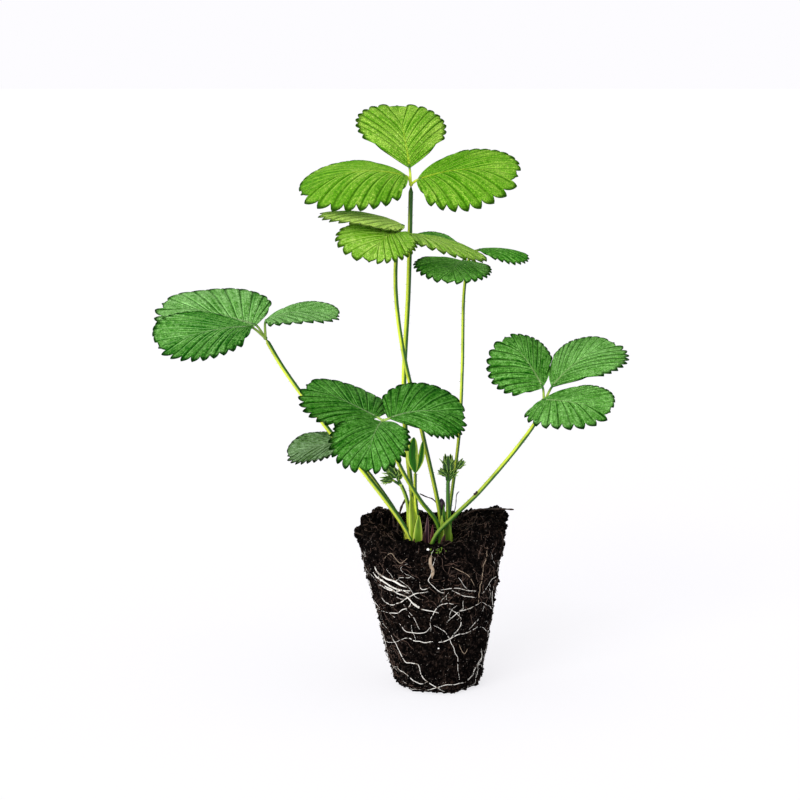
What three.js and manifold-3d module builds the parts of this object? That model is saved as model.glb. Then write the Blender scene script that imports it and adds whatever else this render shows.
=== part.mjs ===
// A young strawberry plant lifted out of its pot with its root ball: a tapered plug of peat held
// together by pale roots, a crown with sheathing leaf bases, seven three-part leaves on long
// stalks, a folded young leaf and two trusses of flower buds.
// Millimetres and degrees. +Z is up, the plant is seen from -Y, and the origin is the centre of
// the plug's flat foot.
import * as THREE from "three";
import { mergeVertices } from "three/addons/utils/BufferGeometryUtils.js";
import Module from "manifold-3d";

const wasm = await Module();
wasm.setup();

// Driving dimensions of the root ball
const PLUG_HEIGHT = 73;
const PLUG_FOOT_RADIUS = 19.5;
const PLUG_RIM_RADIUS = 34.3;
const PLUG_CORNER = 3;
const PLUG_LEAN = -3.2;
const PLUG_HOLLOW_DEPTH = 4.5;
const PLUG_HOLLOW_RADIUS = 13;
const PLUG_HOLLOW_CENTRE = [-4, -9];
const PLUG_SIDES = 28;
const PLUG_ROUGHNESS = 0.6;

// Driving dimensions of a leaflet, as shares of its length, and of its blade
const TOOTH_DEPTH = 0.062;
const TIP_SLANT = 0.74;
const VEIN_COLUMNS = 2;
const BLADE_THICKNESS = 0.8;
const PLEAT_HEIGHT = 0.35;
const TEETH = 7;
const TEETH_END = 0.955;

// Stalks, sheaths and roots
const STALK_SIDES = 6;
const STALK_STEPS = 9;
const STALK_TAPER = [1, 0.98, 0.95, 0.9];
const STALKLET_RADII = [0.7, 0.65, 0.4];
const HUB_RADIUS = 1.2;
const YOUNG_RADII = [1.2, 0.95, 0.8];
const TRUSS_RADII = [1.3, 1.2, 1.1];
const SHEATH_WALL = 1.1;
const SHEATH_LENGTH = 16;
const ROOT_RADIUS = 0.65;
const ROOT_STANDOFF = 0.55;

// Clearance between two pieces that touch on the plant
const SEAT_GAP = 0.3;

const COLOURS = {
  soil: 0x2a1f1a,
  root: 0xd9cdb0,
  crown: 0x9db33a,
  stalk: 0x9cc22c,
  youngGreen: 0x7cb52a,
  leafGreen: 0x3f8f2a,
  bud: 0x5c8f35,
};

const { lerp, degToRad: radians } = THREE.MathUtils;
const vector = (p) => new THREE.Vector3(p[0], p[1], p[2]);

// Solids

function solidFrom(positions, triangles) {
  const raw = new THREE.BufferGeometry();
  raw.setAttribute("position", new THREE.Float32BufferAttribute(positions, 3));
  raw.setIndex(triangles);
  return solidOf(raw);
}

function solidOf(geometry) {
  const merged = mergeVertices(geometry, 1e-4);
  const corners = merged.index.array;
  const kept = [];
  for (let i = 0; i < corners.length; i += 3) {
    const [a, b, c] = [corners[i], corners[i + 1], corners[i + 2]];
    if (a !== b && b !== c && c !== a) kept.push(a, b, c);
  }
  return new wasm.Manifold(
    new wasm.Mesh({
      numProp: 3,
      vertProperties: merged.getAttribute("position").array,
      triVerts: new Uint32Array(kept),
    }),
  );
}

function geometryOf(solid) {
  const mesh = solid.getMesh();
  const positions = new Float32Array(mesh.numVert * 3);
  for (let i = 0; i < mesh.numVert; i++) {
    const start = i * mesh.numProp;
    positions.set(mesh.vertProperties.subarray(start, start + 3), i * 3);
  }
  const geometry = new THREE.BufferGeometry();
  geometry.setAttribute("position", new THREE.BufferAttribute(positions, 3));
  geometry.setIndex(new THREE.BufferAttribute(mesh.triVerts, 1));
  geometry.computeVertexNormals();
  return geometry;
}

function fuse(solids) {
  return solids.reduce((all, next) => all.add(next));
}

// The largest body of a solid, without crumbs cut loose or bubbles closed in
function mainBody(solid) {
  return solid.decompose().reduce((best, body) => (body.volume() > best.volume() ? body : best));
}

function ball(centre, radius, stretch, detail) {
  const round = new THREE.IcosahedronGeometry(radius, detail);
  round.deleteAttribute("normal");
  round.deleteAttribute("uv");
  round.scale(...stretch);
  round.translate(...centre);
  return solidOf(round);
}

// A skin over rings of points, each ring turning left about the way the rings run
function skin(rings, closed = false) {
  const sides = rings[0].length;
  const positions = rings.flat().flatMap((p) => [p.x, p.y, p.z]);
  const triangles = [];
  const count = closed ? rings.length : rings.length - 1;
  for (let i = 0; i < count; i++) {
    const next = ((i + 1) % rings.length) * sides;
    for (let j = 0; j < sides; j++) {
      const k = (j + 1) % sides;
      const a = i * sides + j;
      const b = i * sides + k;
      triangles.push(a, b, next + k, a, next + k, next + j);
    }
  }
  const last = count * sides;
  for (let j = 1; j < sides - 1 && !closed; j++) {
    triangles.push(0, j + 1, j, last, last + j, last + j + 1);
  }
  return solidFrom(positions, triangles);
}

// A value that runs evenly through a list of values as share runs from 0 to 1
function along(values, share) {
  const place = share * (values.length - 1);
  const step = Math.min(Math.floor(place), values.length - 2);
  return lerp(values[step], values[step + 1], place - step);
}

// A stalk through the points. Its width at each step comes from the radii, and ridges folds its
// section like a closed fan.
function tube(points, radii, sides, steps, ridges = 0, flatness = 1) {
  const curve = new THREE.CatmullRomCurve3(points.map(vector));
  const frames = curve.computeFrenetFrames(steps);
  const rings = [];
  for (let i = 0; i <= steps; i++) {
    const centre = curve.getPointAt(i / steps);
    const ring = [];
    for (let j = 0; j < sides; j++) {
      const turn = (2 * Math.PI * j) / sides;
      const radius = along(radii, i / steps) * (1 + ridges * (j % 2 ? -1 : 1));
      const across = frames.normals[i].clone().multiplyScalar(radius * Math.cos(turn));
      const deep = frames.binormals[i].clone().multiplyScalar(radius * flatness * Math.sin(turn));
      ring.push(centre.clone().add(across).add(deep));
    }
    rings.push(ring);
  }
  return skin(rings);
}

// Leaflets

// The smooth outline of one half, from the base (t = 0) to the apex (t = 1), in shares of length
function smoothOutline(t, half) {
  const u = 1 - t;
  const first = 3 * u * u * t;
  const second = 3 * u * t * t;
  const x = first * half.shoulder + second + t * t * t;
  const y = (first * half.belly + second * 1.56) * half.width;
  return [x, y];
}

// Outline points of one half: a plain wedge at the base, then a notch and a tip for each tooth
function halfOutline(half) {
  const marks = [0, 0.4, 0.75].map((share) => ({ t: share * half.plain, out: 0 }));
  const pitch = (TEETH_END - half.plain) / TEETH;
  for (let k = 0; k < TEETH; k++) {
    const notch = half.plain + k * pitch;
    marks.push({ t: notch, out: -0.4, crest: 1 });
    marks.push({ t: notch + pitch * TIP_SLANT, out: 0.6, crest: -1 });
  }
  marks.push({ t: TEETH_END, out: -0.4, crest: 1 }, { t: 1, out: 0 });
  return marks.map(({ t, out, crest = 0 }, row) => {
    const [x, y] = smoothOutline(t, half);
    const [x1, y1] = smoothOutline(Math.max(t - 0.01, 0), half);
    const [x2, y2] = smoothOutline(Math.min(t + 0.01, 1), half);
    const reach = (out * TOOTH_DEPTH) / Math.hypot(x2 - x1, y2 - y1);
    const foot = row === 0 ? 0 : 0.02 + 0.92 * Math.pow(row / (marks.length - 1), 1.35);
    if (t === 1) return { x: 1.02, y: 0, foot, crest };
    return { x: x - reach * (y2 - y1), y: y + reach * (x2 - x1), foot, crest };
  });
}

// A point of the blade's middle surface, moved by lift along the surface's own normal.
// The midrib bends down evenly by droop, and each half bends down from fold by curl.
function bladePoint(leaflet, x, y, lift) {
  const { length } = leaflet;
  const heading = radians(leaflet.heading);
  const startSlope = radians(leaflet.rise);
  const bend = radians(leaflet.droop) / length;
  const slope = startSlope - bend * x;
  const run = (Math.sin(startSlope) - Math.sin(slope)) / bend;
  const climb = (Math.cos(slope) - Math.cos(startSlope)) / bend;
  const ahead = new THREE.Vector3(Math.cos(heading), Math.sin(heading), 0);
  const level = new THREE.Vector3(-Math.sin(heading), Math.cos(heading), 0);
  const up = ahead.clone().multiplyScalar(-Math.sin(slope)).setZ(Math.cos(slope));
  const roll = radians(leaflet.roll + (leaflet.twist ?? 0) * (x / length - 0.5));
  const side = level.clone().multiplyScalar(Math.cos(roll)).addScaledVector(up, Math.sin(roll));
  const normal = up.clone().multiplyScalar(Math.cos(roll)).addScaledVector(level, -Math.sin(roll));
  const hand = Math.sign(y);
  const fold = radians(leaflet.fold);
  const turn = radians(leaflet.curl) / (0.47 * length);
  const angle = fold - turn * Math.abs(y);
  const out = (Math.sin(fold) - Math.sin(angle)) / turn;
  const rise = (Math.cos(angle) - Math.cos(fold)) / turn;
  return vector(leaflet.base)
    .addScaledVector(ahead, run)
    .add(new THREE.Vector3(0, 0, climb))
    .addScaledVector(side, hand * (out - lift * Math.sin(angle)))
    .addScaledVector(normal, rise + (hand ? lift * Math.cos(angle) : lift));
}

// One toothed blade: rows run along the veins, from the midrib to the outline, with creases down
// to the tips of the teeth and crests up to the notches between them
function bladeSolid(leaflet) {
  const positions = [];
  const triangles = [];
  const columns = VEIN_COLUMNS + 1;
  const quad = (a, b, c, d, flip) => {
    if (flip) triangles.push(a, c, b, a, d, c);
    else triangles.push(a, b, c, a, c, d);
  };
  for (const [hand, half] of [[1, leaflet.shape.left], [-1, leaflet.shape.right]]) {
    const outline = halfOutline(half);
    const first = positions.length / 3;
    for (const face of [1, -1]) {
      for (const point of outline) {
        for (let j = 0; j < columns; j++) {
          const share = j / VEIN_COLUMNS;
          const x = lerp(point.foot, point.x, share) * leaflet.length;
          const y = point.y * share * leaflet.length * hand;
          const pleat = PLEAT_HEIGHT * point.crest * Math.min(1, 1.6 * share);
          const p = bladePoint(leaflet, x, y, (face * BLADE_THICKNESS) / 2 + pleat);
          positions.push(p.x, p.y, p.z);
        }
      }
    }
    const under = outline.length * columns;
    for (let i = 0; i < outline.length - 1; i++) {
      for (let j = 0; j < VEIN_COLUMNS; j++) {
        const a = first + i * columns + j;
        const b = a + columns;
        quad(a, b, b + 1, a + 1, hand < 0);
        quad(a + under, b + under, b + under + 1, a + under + 1, hand > 0);
      }
      const a = first + i * columns + VEIN_COLUMNS;
      const b = a + columns;
      quad(a, b, b + under, a + under, hand < 0);
    }
  }
  return solidFrom(positions, triangles);
}

// Halves of a leaflet: their width, how far out the base corner of the outline sits, how full it
// is there and where the plain wedge ends. The two halves of a side leaflet differ: the one away
// from the middle leaflet is the fuller one.
const WEDGE_HALF = { width: 0.47, shoulder: 0.34, belly: 1.08, plain: 0.33 };
const FULL_HALF = { width: 0.48, shoulder: -0.1, belly: 1.5, plain: 0.18 };
const LEAN_HALF = { width: 0.42, shoulder: 0.28, belly: 1.05, plain: 0.36 };
const ROUND_HALF = { width: 0.49, shoulder: 0.12, belly: 1.22, plain: 0.24 };
const CORNERED_HALF = { width: 0.47, shoulder: -0.3, belly: 1.65, plain: 0.17 };
const LOBED_HALF = { width: 0.46, shoulder: -0.6, belly: 1.35, plain: 0.15 };
const MIDDLE = { left: WEDGE_HALF, right: WEDGE_HALF };
const ROUND_LEFT = { left: ROUND_HALF, right: WEDGE_HALF };
const ROUNDED = { left: ROUND_HALF, right: ROUND_HALF };
const BROAD = { left: FULL_HALF, right: WEDGE_HALF };
const FULL_LEFT = { left: FULL_HALF, right: LEAN_HALF };
const FULL_RIGHT = { left: LEAN_HALF, right: FULL_HALF };
const CORNERED_RIGHT = { left: ROUND_HALF, right: CORNERED_HALF };
const LOBED_RIGHT = { left: LEAN_HALF, right: LOBED_HALF };

// Each leaf: its hub, its stalk's path up to the hub, the stalk's radius and its three leaflets.
// A leaflet's base is given from the hub; heading is seen from above, 0 to the right (+X) and 90
// away from the viewer; rise is the midrib's slope at its base and roll lifts the left half.
const LEAVES = [
  {
    name: "top",
    colour: COLOURS.youngGreen,
    thickness: 1.15,
    hub: [-12.4, 5, 228],
    stalk: [[-10, -8, 64], [-11, -7.5, 80], [-15, -3, 120], [-15.5, -1, 141], [-13.5, 2, 182]],
    leaflets: [
      {
        base: [-0.6, 2.2, 7.1], heading: 100, length: 42, rise: 49, droop: 19,
        roll: 1, fold: 7, curl: 21, shape: MIDDLE,
      },
      {
        base: [-1.7, -2.2, 3.6], heading: 186, length: 49, rise: 18, droop: 54,
        roll: -20, fold: -3, curl: 12, shape: FULL_LEFT,
      },
      {
        base: [2.7, -1, 2], heading: 355, length: 45, rise: 22, droop: 39,
        roll: 31, fold: 1, curl: 14, shape: FULL_RIGHT,
      },
    ],
  },
  {
    name: "upper_left",
    colour: COLOURS.youngGreen,
    thickness: 1,
    hub: [-18.6, -12, 208],
    stalk: [[2, -6.5, 64], [0.8, -8.2, 80], [-7, -11, 117], [-16, -14, 156], [-19.2, -14, 183]],
    leaflets: [
      {
        base: [1.4, -2.7, 0.3], heading: 247, length: 36, rise: 6, droop: 44,
        roll: -9, fold: 11, curl: 19, shape: FULL_RIGHT,
      },
      {
        base: [3.9, -0.7, -0.7], heading: 348, length: 36, rise: -5, droop: 25,
        roll: 0, fold: 4, curl: 13, shape: FULL_RIGHT,
      },
      {
        base: [3.1, 2.1, 2.6], heading: 177, length: 37.5, rise: 27, droop: 37,
        roll: -2, fold: -6, curl: 3, shape: FULL_LEFT,
      },
    ],
  },
  {
    name: "upper_right",
    colour: COLOURS.leafGreen,
    thickness: 0.8,
    hub: [14.6, 22, 196],
    stalk: [[3.5, -2.5, 64], [5, -2.5, 80], [9.5, 5, 115], [11, 12, 144], [12, 19.5, 180]],
    leaflets: [
      {
        base: [-3.6, -5.8, -3.3], heading: 257, length: 34, rise: 4, droop: 30,
        roll: -7, fold: 12, curl: 12, shape: MIDDLE,
      },
      {
        base: [3.9, 1.8, 1], heading: 33, length: 25, rise: 7, droop: 25,
        roll: 5, fold: -7, curl: 20, shape: FULL_RIGHT,
      },
      {
        base: [-2.9, 4.1, 0.5], heading: 163, length: 26.5, rise: 35, droop: 44,
        roll: 0, fold: 3, curl: -4, shape: FULL_LEFT,
      },
    ],
  },
  {
    name: "left",
    colour: COLOURS.leafGreen,
    thickness: 1.1,
    hub: [-77.9, 5, 159],
    stalk: [[-11, -16, 64], [-13.5, -15, 73], [-32.5, -9, 99], [-50, -4, 119.5], [-69.5, 3, 145]],
    leaflets: [
      {
        base: [-6.4, -2.8, 5.5], heading: 201, length: 43, rise: 2, droop: 24,
        roll: -21, fold: 4, curl: 3, shape: ROUND_LEFT,
      },
      {
        base: [-4.5, 3.1, 5.6], heading: 167, length: 44.5, rise: 15, droop: 8,
        roll: -27, twist: 16, fold: 0, curl: 12, shape: CORNERED_RIGHT,
      },
      {
        base: [0.5, -1.6, 8.5], heading: 358, length: 33, rise: 23, droop: 40,
        roll: 10, fold: 4, curl: 4, shape: FULL_RIGHT,
      },
    ],
  },
  {
    name: "right",
    colour: COLOURS.leafGreen,
    thickness: 1,
    hub: [47.2, -5, 131],
    stalk: [[-4.5, -16, 64], [-1.5, -16, 72.5], [7.5, -15, 82], [19, -13, 93], [43, -7, 122]],
    leaflets: [
      {
        base: [-0.4, 3.7, 6.5], heading: 131, length: 32, rise: 53, droop: 27,
        roll: -21, fold: -8, curl: 19, shape: BROAD,
      },
      {
        base: [3.5, 3.1, 6.6], heading: 30, length: 38.5, rise: 45, droop: 34,
        roll: 12, fold: 2, curl: 13, shape: MIDDLE,
      },
      {
        base: [-1, -4.1, 2.1], heading: 335, length: 32, rise: 3, droop: 18,
        roll: 32, fold: 0, curl: 3, shape: LOBED_RIGHT,
      },
    ],
  },
  {
    name: "front",
    colour: COLOURS.leafGreen,
    thickness: 1,
    hub: [-24.7, -35, 128],
    stalk: [[1, -12, 64], [-0.3, -13, 77], [-8.5, -20, 90], [-17.5, -28, 107]],
    leaflets: [
      {
        base: [-2.5, 1.9, 1.2], heading: 164, length: 34.5, rise: 25, droop: 6,
        roll: -18, fold: -1, curl: 14, shape: CORNERED_RIGHT,
      },
      {
        base: [2.6, -0.9, 1.1], heading: 16, length: 35, rise: 19, droop: 42,
        roll: 35, fold: 4, curl: 15, shape: FULL_LEFT,
      },
      {
        base: [-0.4, -2.2, -0.3], heading: 257, length: 35, rise: 1, droop: 60,
        roll: -6, fold: 23, curl: 15, shape: MIDDLE,
      },
    ],
  },
  {
    name: "small",
    colour: COLOURS.leafGreen,
    thickness: 0.8,
    hub: [-43, 0, 108.5],
    stalk: [[-14.5, -6, 64], [-16, -5.5, 75], [-27.5, -3, 93.5], [-34, -2, 101.5]],
    leaflets: [
      {
        base: [1, 1.2, 3.3], heading: 184, length: 26.5, rise: -1, droop: 23,
        roll: -17, fold: 4, curl: 4, shape: ROUNDED,
      },
      {
        base: [1, 3, 1], heading: 80, length: 22, rise: 10, droop: 20,
        roll: 0, fold: 4, curl: 14, shape: FULL_RIGHT,
      },
      {
        base: [3, -1.5, 1], heading: 330, length: 19, rise: 25, droop: 20,
        roll: 0, fold: 4, curl: 14, shape: MIDDLE,
      },
    ],
  },
];

// A stalk ends just short of its hub
function stalkPath(leaf) {
  const hub = vector(leaf.hub);
  const back = vector(leaf.stalk.at(-1)).sub(hub).normalize();
  return [...leaf.stalk, hub.addScaledVector(back, HUB_RADIUS + SEAT_GAP).toArray()];
}

// A stem is its path and its radii from foot to end. With a gap it is wider and deeper by the gap.
function stemSolid({ points, radii }, gap = 0) {
  const path = [footLine(points, -gap), ...points.slice(1)];
  return tube(path, radii.map((radius) => radius + gap), STALK_SIDES, STALK_STEPS);
}

// A point on the line of a stalk's foot, the given distance up from the foot
function footLine(points, distance) {
  const foot = vector(points[0]);
  const way = vector(points[1]).sub(foot).normalize();
  return foot.addScaledVector(way, distance).toArray();
}

function bladesSolid(leaf) {
  const hub = vector(leaf.hub);
  const parts = [ball(leaf.hub, HUB_RADIUS, [1, 1, 1], 0)];
  for (const leaflet of leaf.leaflets) {
    const placed = { ...leaflet, base: hub.clone().add(vector(leaflet.base)).toArray() };
    const inside = bladePoint(placed, placed.length * 0.14, 0, -0.2).toArray();
    parts.push(bladeSolid(placed));
    parts.push(tube([leaf.hub, placed.base, inside], STALKLET_RADII, 4, 2));
  }
  return mainBody(fuse(parts));
}

// The root ball

function plugAxis(height) {
  return (PLUG_LEAN * height) / PLUG_HEIGHT;
}

// Swells and hollows of the peat
function peatSwell(turn, height) {
  return 0.5 * (Math.sin(3 * turn + height * 0.09) + Math.sin(5 * turn - height * 0.17 + 1.3));
}

function plugRadius(turn, height) {
  const plain = lerp(PLUG_FOOT_RADIUS, PLUG_RIM_RADIUS, height / PLUG_HEIGHT);
  return plain + PLUG_ROUGHNESS * peatSwell(turn, height);
}

// The rim is torn and stands higher at the right and at the back left
function rimHeight(turn) {
  const mound = (degrees, height) =>
    height * Math.exp(-4 * (1 - Math.cos(turn - radians(degrees))));
  return PLUG_HEIGHT - 0.3 + mound(20, 4) + mound(150, 3);
}

function plugSolid() {
  const ringAt = (radiusAt, heightAt, centreX, centreY) =>
    Array.from({ length: PLUG_SIDES }, (_, j) => {
      const turn = (2 * Math.PI * j) / PLUG_SIDES;
      const radius = radiusAt(turn);
      const height = heightAt(turn);
      return vector([centreX + radius * Math.cos(turn), centreY + radius * Math.sin(turn), height]);
    });
  const rings = [ringAt(() => PLUG_FOOT_RADIUS - PLUG_CORNER, () => 0, 0, 0)];
  rings.push(ringAt((turn) => plugRadius(turn, 1) - 0.3 * PLUG_CORNER, () => 0.3 * PLUG_CORNER, 0, 0));
  for (let height = PLUG_CORNER; height < PLUG_HEIGHT - 4; height += 8) {
    rings.push(ringAt((turn) => plugRadius(turn, height), () => height, plugAxis(height), 0));
  }
  const rim = (inset, drop) => {
    const level = PLUG_HEIGHT - drop;
    const radiusAt = (turn) => plugRadius(turn, level) - inset;
    rings.push(ringAt(radiusAt, (turn) => rimHeight(turn) - drop, plugAxis(level), 0));
  };
  rim(0.4, 2);
  rim(3, 0);
  const [hollowX, hollowY] = PLUG_HOLLOW_CENTRE;
  const hollow = (share, drop) => {
    rings.push(
      ringAt(() => PLUG_HOLLOW_RADIUS * share, () => PLUG_HEIGHT - drop, hollowX, hollowY),
    );
  };
  hollow(1.4, 1.5);
  hollow(1, PLUG_HOLLOW_DEPTH);
  return skin(rings);
}

// Roots on the plug's side, as [turn in degrees, height]. Turn 270 faces the viewer.
const RING_ROOTS = [
  [[0, 52], [30, 46], [60, 53], [90, 48], [120, 52], [150, 46], [180, 53], [210, 57], [225, 52],
    [242, 50], [259, 45], [272, 47], [282, 49], [300, 49], [315, 47], [335, 53]],
  [[10, 33], [40, 38], [80, 34], [120, 39], [160, 33], [195, 37], [222, 37], [235, 32], [250, 30],
    [265, 35], [275, 40], [291, 40], [316, 43], [340, 38]],
  [[15, 21], [50, 26], [90, 22], [130, 27], [170, 21], [200, 22], [224, 24], [240, 27], [265, 26],
    [284, 27], [303, 29], [320, 30], [345, 26]],
  [[20, 6], [60, 10], [100, 6], [140, 11], [180, 7], [211, 11], [228, 9], [247, 5], [270, 4],
    [290, 5], [310, 6], [330, 11], [350, 9]],
];
const DOWN_ROOTS = [
  [[271, 70], [271, 64], [266, 56], [272, 52], [279, 46]],
  [[318, 67], [315, 58], [313, 50], [318, 44]],
  [[255, 46], [266, 43], [274, 40]],
  [[274, 40], [278, 31], [285, 26], [293, 18], [298, 6]],
  [[222, 37], [216, 27], [223, 21], [231, 15], [247, 14], [256, 5]],
  [[235, 60], [224, 52], [214, 44], [224, 41], [238, 44], [248, 48], [262, 50], [270, 48]],
  [[10, 64], [14, 48], [6, 34], [12, 20], [8, 7]],
  [[80, 62], [86, 48], [78, 35], [84, 22], [80, 8]],
  [[150, 60], [156, 47], [148, 35], [154, 22], [150, 10]],
];
const ROOT_STEP_LENGTH = 5.5;

function onPlug(place, proud) {
  const turn = radians(place.x);
  const radius = plugRadius(turn, place.y) + proud;
  return vector([plugAxis(place.y) + radius * Math.cos(turn), radius * Math.sin(turn), place.y]);
}

// A root lies on the plug with one flat side inwards
function rootSolid(route, closed) {
  const stops = route.map(([turn, height]) => new THREE.Vector2(turn, height));
  if (closed) stops.push(new THREE.Vector2(stops[0].x + 360, stops[0].y));
  const curve = new THREE.SplineCurve(stops);
  const degreeLength = radians(1) * PLUG_FOOT_RADIUS * 1.4;
  let length = 0;
  for (let i = 1; i < stops.length; i++) {
    length += Math.hypot((stops[i].x - stops[i - 1].x) * degreeLength, stops[i].y - stops[i - 1].y);
  }
  const steps = Math.max(4, Math.round(length / ROOT_STEP_LENGTH));
  const rings = [];
  for (let i = 0; i < (closed ? steps : steps + 1); i++) {
    const share = i / steps;
    const ahead = onPlug(curve.getPoint(Math.min(share + 0.01, 1)), 0);
    const behind = onPlug(curve.getPoint(Math.max(share - 0.01, 0)), 0);
    const way = ahead.sub(behind).normalize();
    const place = curve.getPoint(share);
    const inner = onPlug(place, ROOT_STANDOFF);
    const outer = onPlug(place, ROOT_STANDOFF + 1.5 * ROOT_RADIUS);
    const aside = way.clone().cross(outer.clone().sub(inner)).normalize();
    const half = aside.multiplyScalar(0.87 * ROOT_RADIUS);
    rings.push([outer, inner.clone().add(half), inner.clone().sub(half)]);
  }
  return skin(rings, closed);
}

function rootNet() {
  const rings = RING_ROOTS.map((route) => rootSolid(route, true));
  const downs = DOWN_ROOTS.map((route) => rootSolid(route, false));
  return fuse([...rings, ...downs]);
}

// Crown: a short knotted stem under the peat's surface, with a sheath round the foot of each stalk
const CROWN_CORES = [
  { centre: [-10.5, -10, 62], radius: 7.5, stretch: [1, 1.05, 0.75] },
  { centre: [0.5, -9.5, 62], radius: 8, stretch: [0.95, 1, 0.75] },
];

function crownBody(stems, gap = 0) {
  const cores = CROWN_CORES.map((core) => ball(core.centre, core.radius + gap, core.stretch, 1));
  const sheaths = stems.map(({ points, radii }) => {
    const line = [footLine(points, -3 - gap), footLine(points, SHEATH_LENGTH)];
    const outer = radii[0] + SHEATH_WALL + gap;
    return tube(line, [outer + 0.2, outer - 0.1], STALK_SIDES, 1);
  });
  return fuse([...cores, ...sheaths]);
}

// The young leaf: three leaflets still folded like closed fans, on one short stalk
const YOUNG_LEAF = {
  stalk: [[-8, -12.5, 64], [-9.5, -14, 80], [-10.5, -15, 92], [-10.5, -15.5, 102]],
  leaflets: [
    { path: [[-10.5, -15.5, 101], [-12, -16, 109], [-11.6, -15.5, 117]], width: 2.1 },
    { path: [[-10.3, -15.5, 101], [-8.4, -15.8, 108], [-7.8, -15.4, 115.5]], width: 1.3 },
    { path: [[-10.4, -15, 101], [-10.6, -13, 107], [-10.4, -12.6, 113]], width: 1.4 },
  ],
};

function youngLeafSolid() {
  const folded = YOUNG_LEAF.leaflets.map(({ path, width }) => {
    const radii = [0.35, 0.8, 1, 0.95, 0.75, 0.4, 0.08].map((share) => share * width);
    return tube(path, radii, 10, 6, 0.13, 0.6);
  });
  return fuse([stemSolid({ points: YOUNG_LEAF.stalk, radii: YOUNG_RADII }), ...folded]);
}

// Trusses of flower buds: a stout stalk, and buds with pointed green sepals
const TRUSSES = [
  {
    name: "bud_truss_left",
    stalk: [[-13.5, -10.5, 64], [-13.3, -11, 76], [-14.2, -11.5, 88], [-17, -11.5, 95.5]],
    buds: [
      { at: [-19, -11.5, 100], radius: 1.9, aim: [-0.5, -0.2, 0.8] },
      { at: [-21, -12, 97], radius: 1.5, aim: [-1, -0.3, 0.2] },
      { at: [-16, -12.5, 99.5], radius: 1.5, aim: [0.2, -0.4, 0.9] },
    ],
  },
  {
    name: "bud_truss_right",
    stalk: [[5, -8.5, 64], [4.3, -9, 83], [4.2, -10, 97]],
    buds: [
      { at: [4.8, -10.2, 104], radius: 2.3, aim: [0.05, 0, 1] },
      { at: [1.6, -10.6, 101], radius: 1.7, aim: [-0.6, -0.2, 0.8] },
      { at: [8.6, -10.2, 103], radius: 1.5, aim: [0.6, -0.1, 0.8] },
      { at: [5.4, -11, 97.6], radius: 1.4, aim: [0.6, -0.5, 0.6] },
    ],
  },
];
const SEPALS = 5;

// A round bud whose upper edge rises to the points of its sepals
function budSolid(bud) {
  const turned = new THREE.Quaternion().setFromUnitVectors(
    new THREE.Vector3(0, 0, 1),
    vector(bud.aim).normalize(),
  );
  const rows = [
    { tip: [0.35, -0.95] },
    { tip: [0.95, -0.35] },
    { tip: [1, 0.3] },
    { tip: [0.6, 1.9], notch: [0.85, 0.75] },
    { tip: [0.45, 0.8], notch: [0.5, 0.7] },
  ];
  const rings = rows.map(({ tip, notch = tip }) =>
    Array.from({ length: 2 * SEPALS }, (_, j) => {
      const turn = (Math.PI * j) / SEPALS;
      const [radius, height] = j % 2 ? notch : tip;
      return new THREE.Vector3(radius * Math.cos(turn), radius * Math.sin(turn), height)
        .multiplyScalar(bud.radius)
        .applyQuaternion(turned)
        .add(vector(bud.at));
    }),
  );
  return skin(rings);
}

function trussSolid(truss) {
  const parts = [stemSolid({ points: truss.stalk, radii: TRUSS_RADII })];
  const fork = footLine([...truss.stalk].reverse(), 1);
  for (const bud of truss.buds) {
    parts.push(budSolid(bud));
    parts.push(tube([fork, bud.at], [0.8, 0.6], 5, 1));
  }
  return fuse(parts);
}

// Assembly

const plant = new THREE.Group();

function place(name, solid, colour, roughness) {
  const material = new THREE.MeshStandardMaterial({ color: colour, roughness, metalness: 0 });
  const mesh = new THREE.Mesh(geometryOf(solid), material);
  mesh.name = name;
  plant.add(mesh);
}

const leafStems = LEAVES.map((leaf) => ({
  points: stalkPath(leaf),
  radii: STALK_TAPER.map((share) => share * leaf.thickness),
}));
const stems = [
  ...leafStems,
  { points: YOUNG_LEAF.stalk, radii: YOUNG_RADII },
  ...TRUSSES.map((truss) => ({ points: truss.stalk, radii: TRUSS_RADII })),
];
const holes = fuse(stems.map((stem) => stemSolid(stem, SEAT_GAP)));
const soil = plugSolid().subtract(crownBody(stems, SEAT_GAP)).subtract(holes);

place("soil_plug", mainBody(soil), COLOURS.soil, 0.95);
place("root_net", rootNet(), COLOURS.root, 0.8);
place("crown", crownBody(stems).subtract(holes), COLOURS.crown, 0.6);
LEAVES.forEach((leaf, i) => {
  place(`leaf_${leaf.name}_stalk`, stemSolid(leafStems[i]), COLOURS.stalk, 0.5);
  place(`leaf_${leaf.name}_blades`, bladesSolid(leaf), leaf.colour, 0.6);
});
place("young_leaf", youngLeafSolid(), COLOURS.youngGreen, 0.6);
for (const truss of TRUSSES) place(truss.name, trussSolid(truss), COLOURS.bud, 0.7);

export default plant;
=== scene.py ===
"""A young strawberry plant with its bare root ball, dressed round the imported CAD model."""

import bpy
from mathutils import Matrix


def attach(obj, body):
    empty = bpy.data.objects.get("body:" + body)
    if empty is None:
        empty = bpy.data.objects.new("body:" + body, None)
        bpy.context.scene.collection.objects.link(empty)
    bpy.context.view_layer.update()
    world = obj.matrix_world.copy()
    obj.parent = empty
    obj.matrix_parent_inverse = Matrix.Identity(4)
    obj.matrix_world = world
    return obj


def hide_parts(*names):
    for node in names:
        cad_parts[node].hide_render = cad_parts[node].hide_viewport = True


bl_info = {
    "name": "Strawberry plug plant",
    "version": (1, 0, 0),
    "blender": (4, 5, 0),
    "location": "View3D > Sidebar > Strawberry",
    "description": "Peat, roots, crown, leaves and buds of a young strawberry plant",
    "category": "Add Mesh",
}

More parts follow.
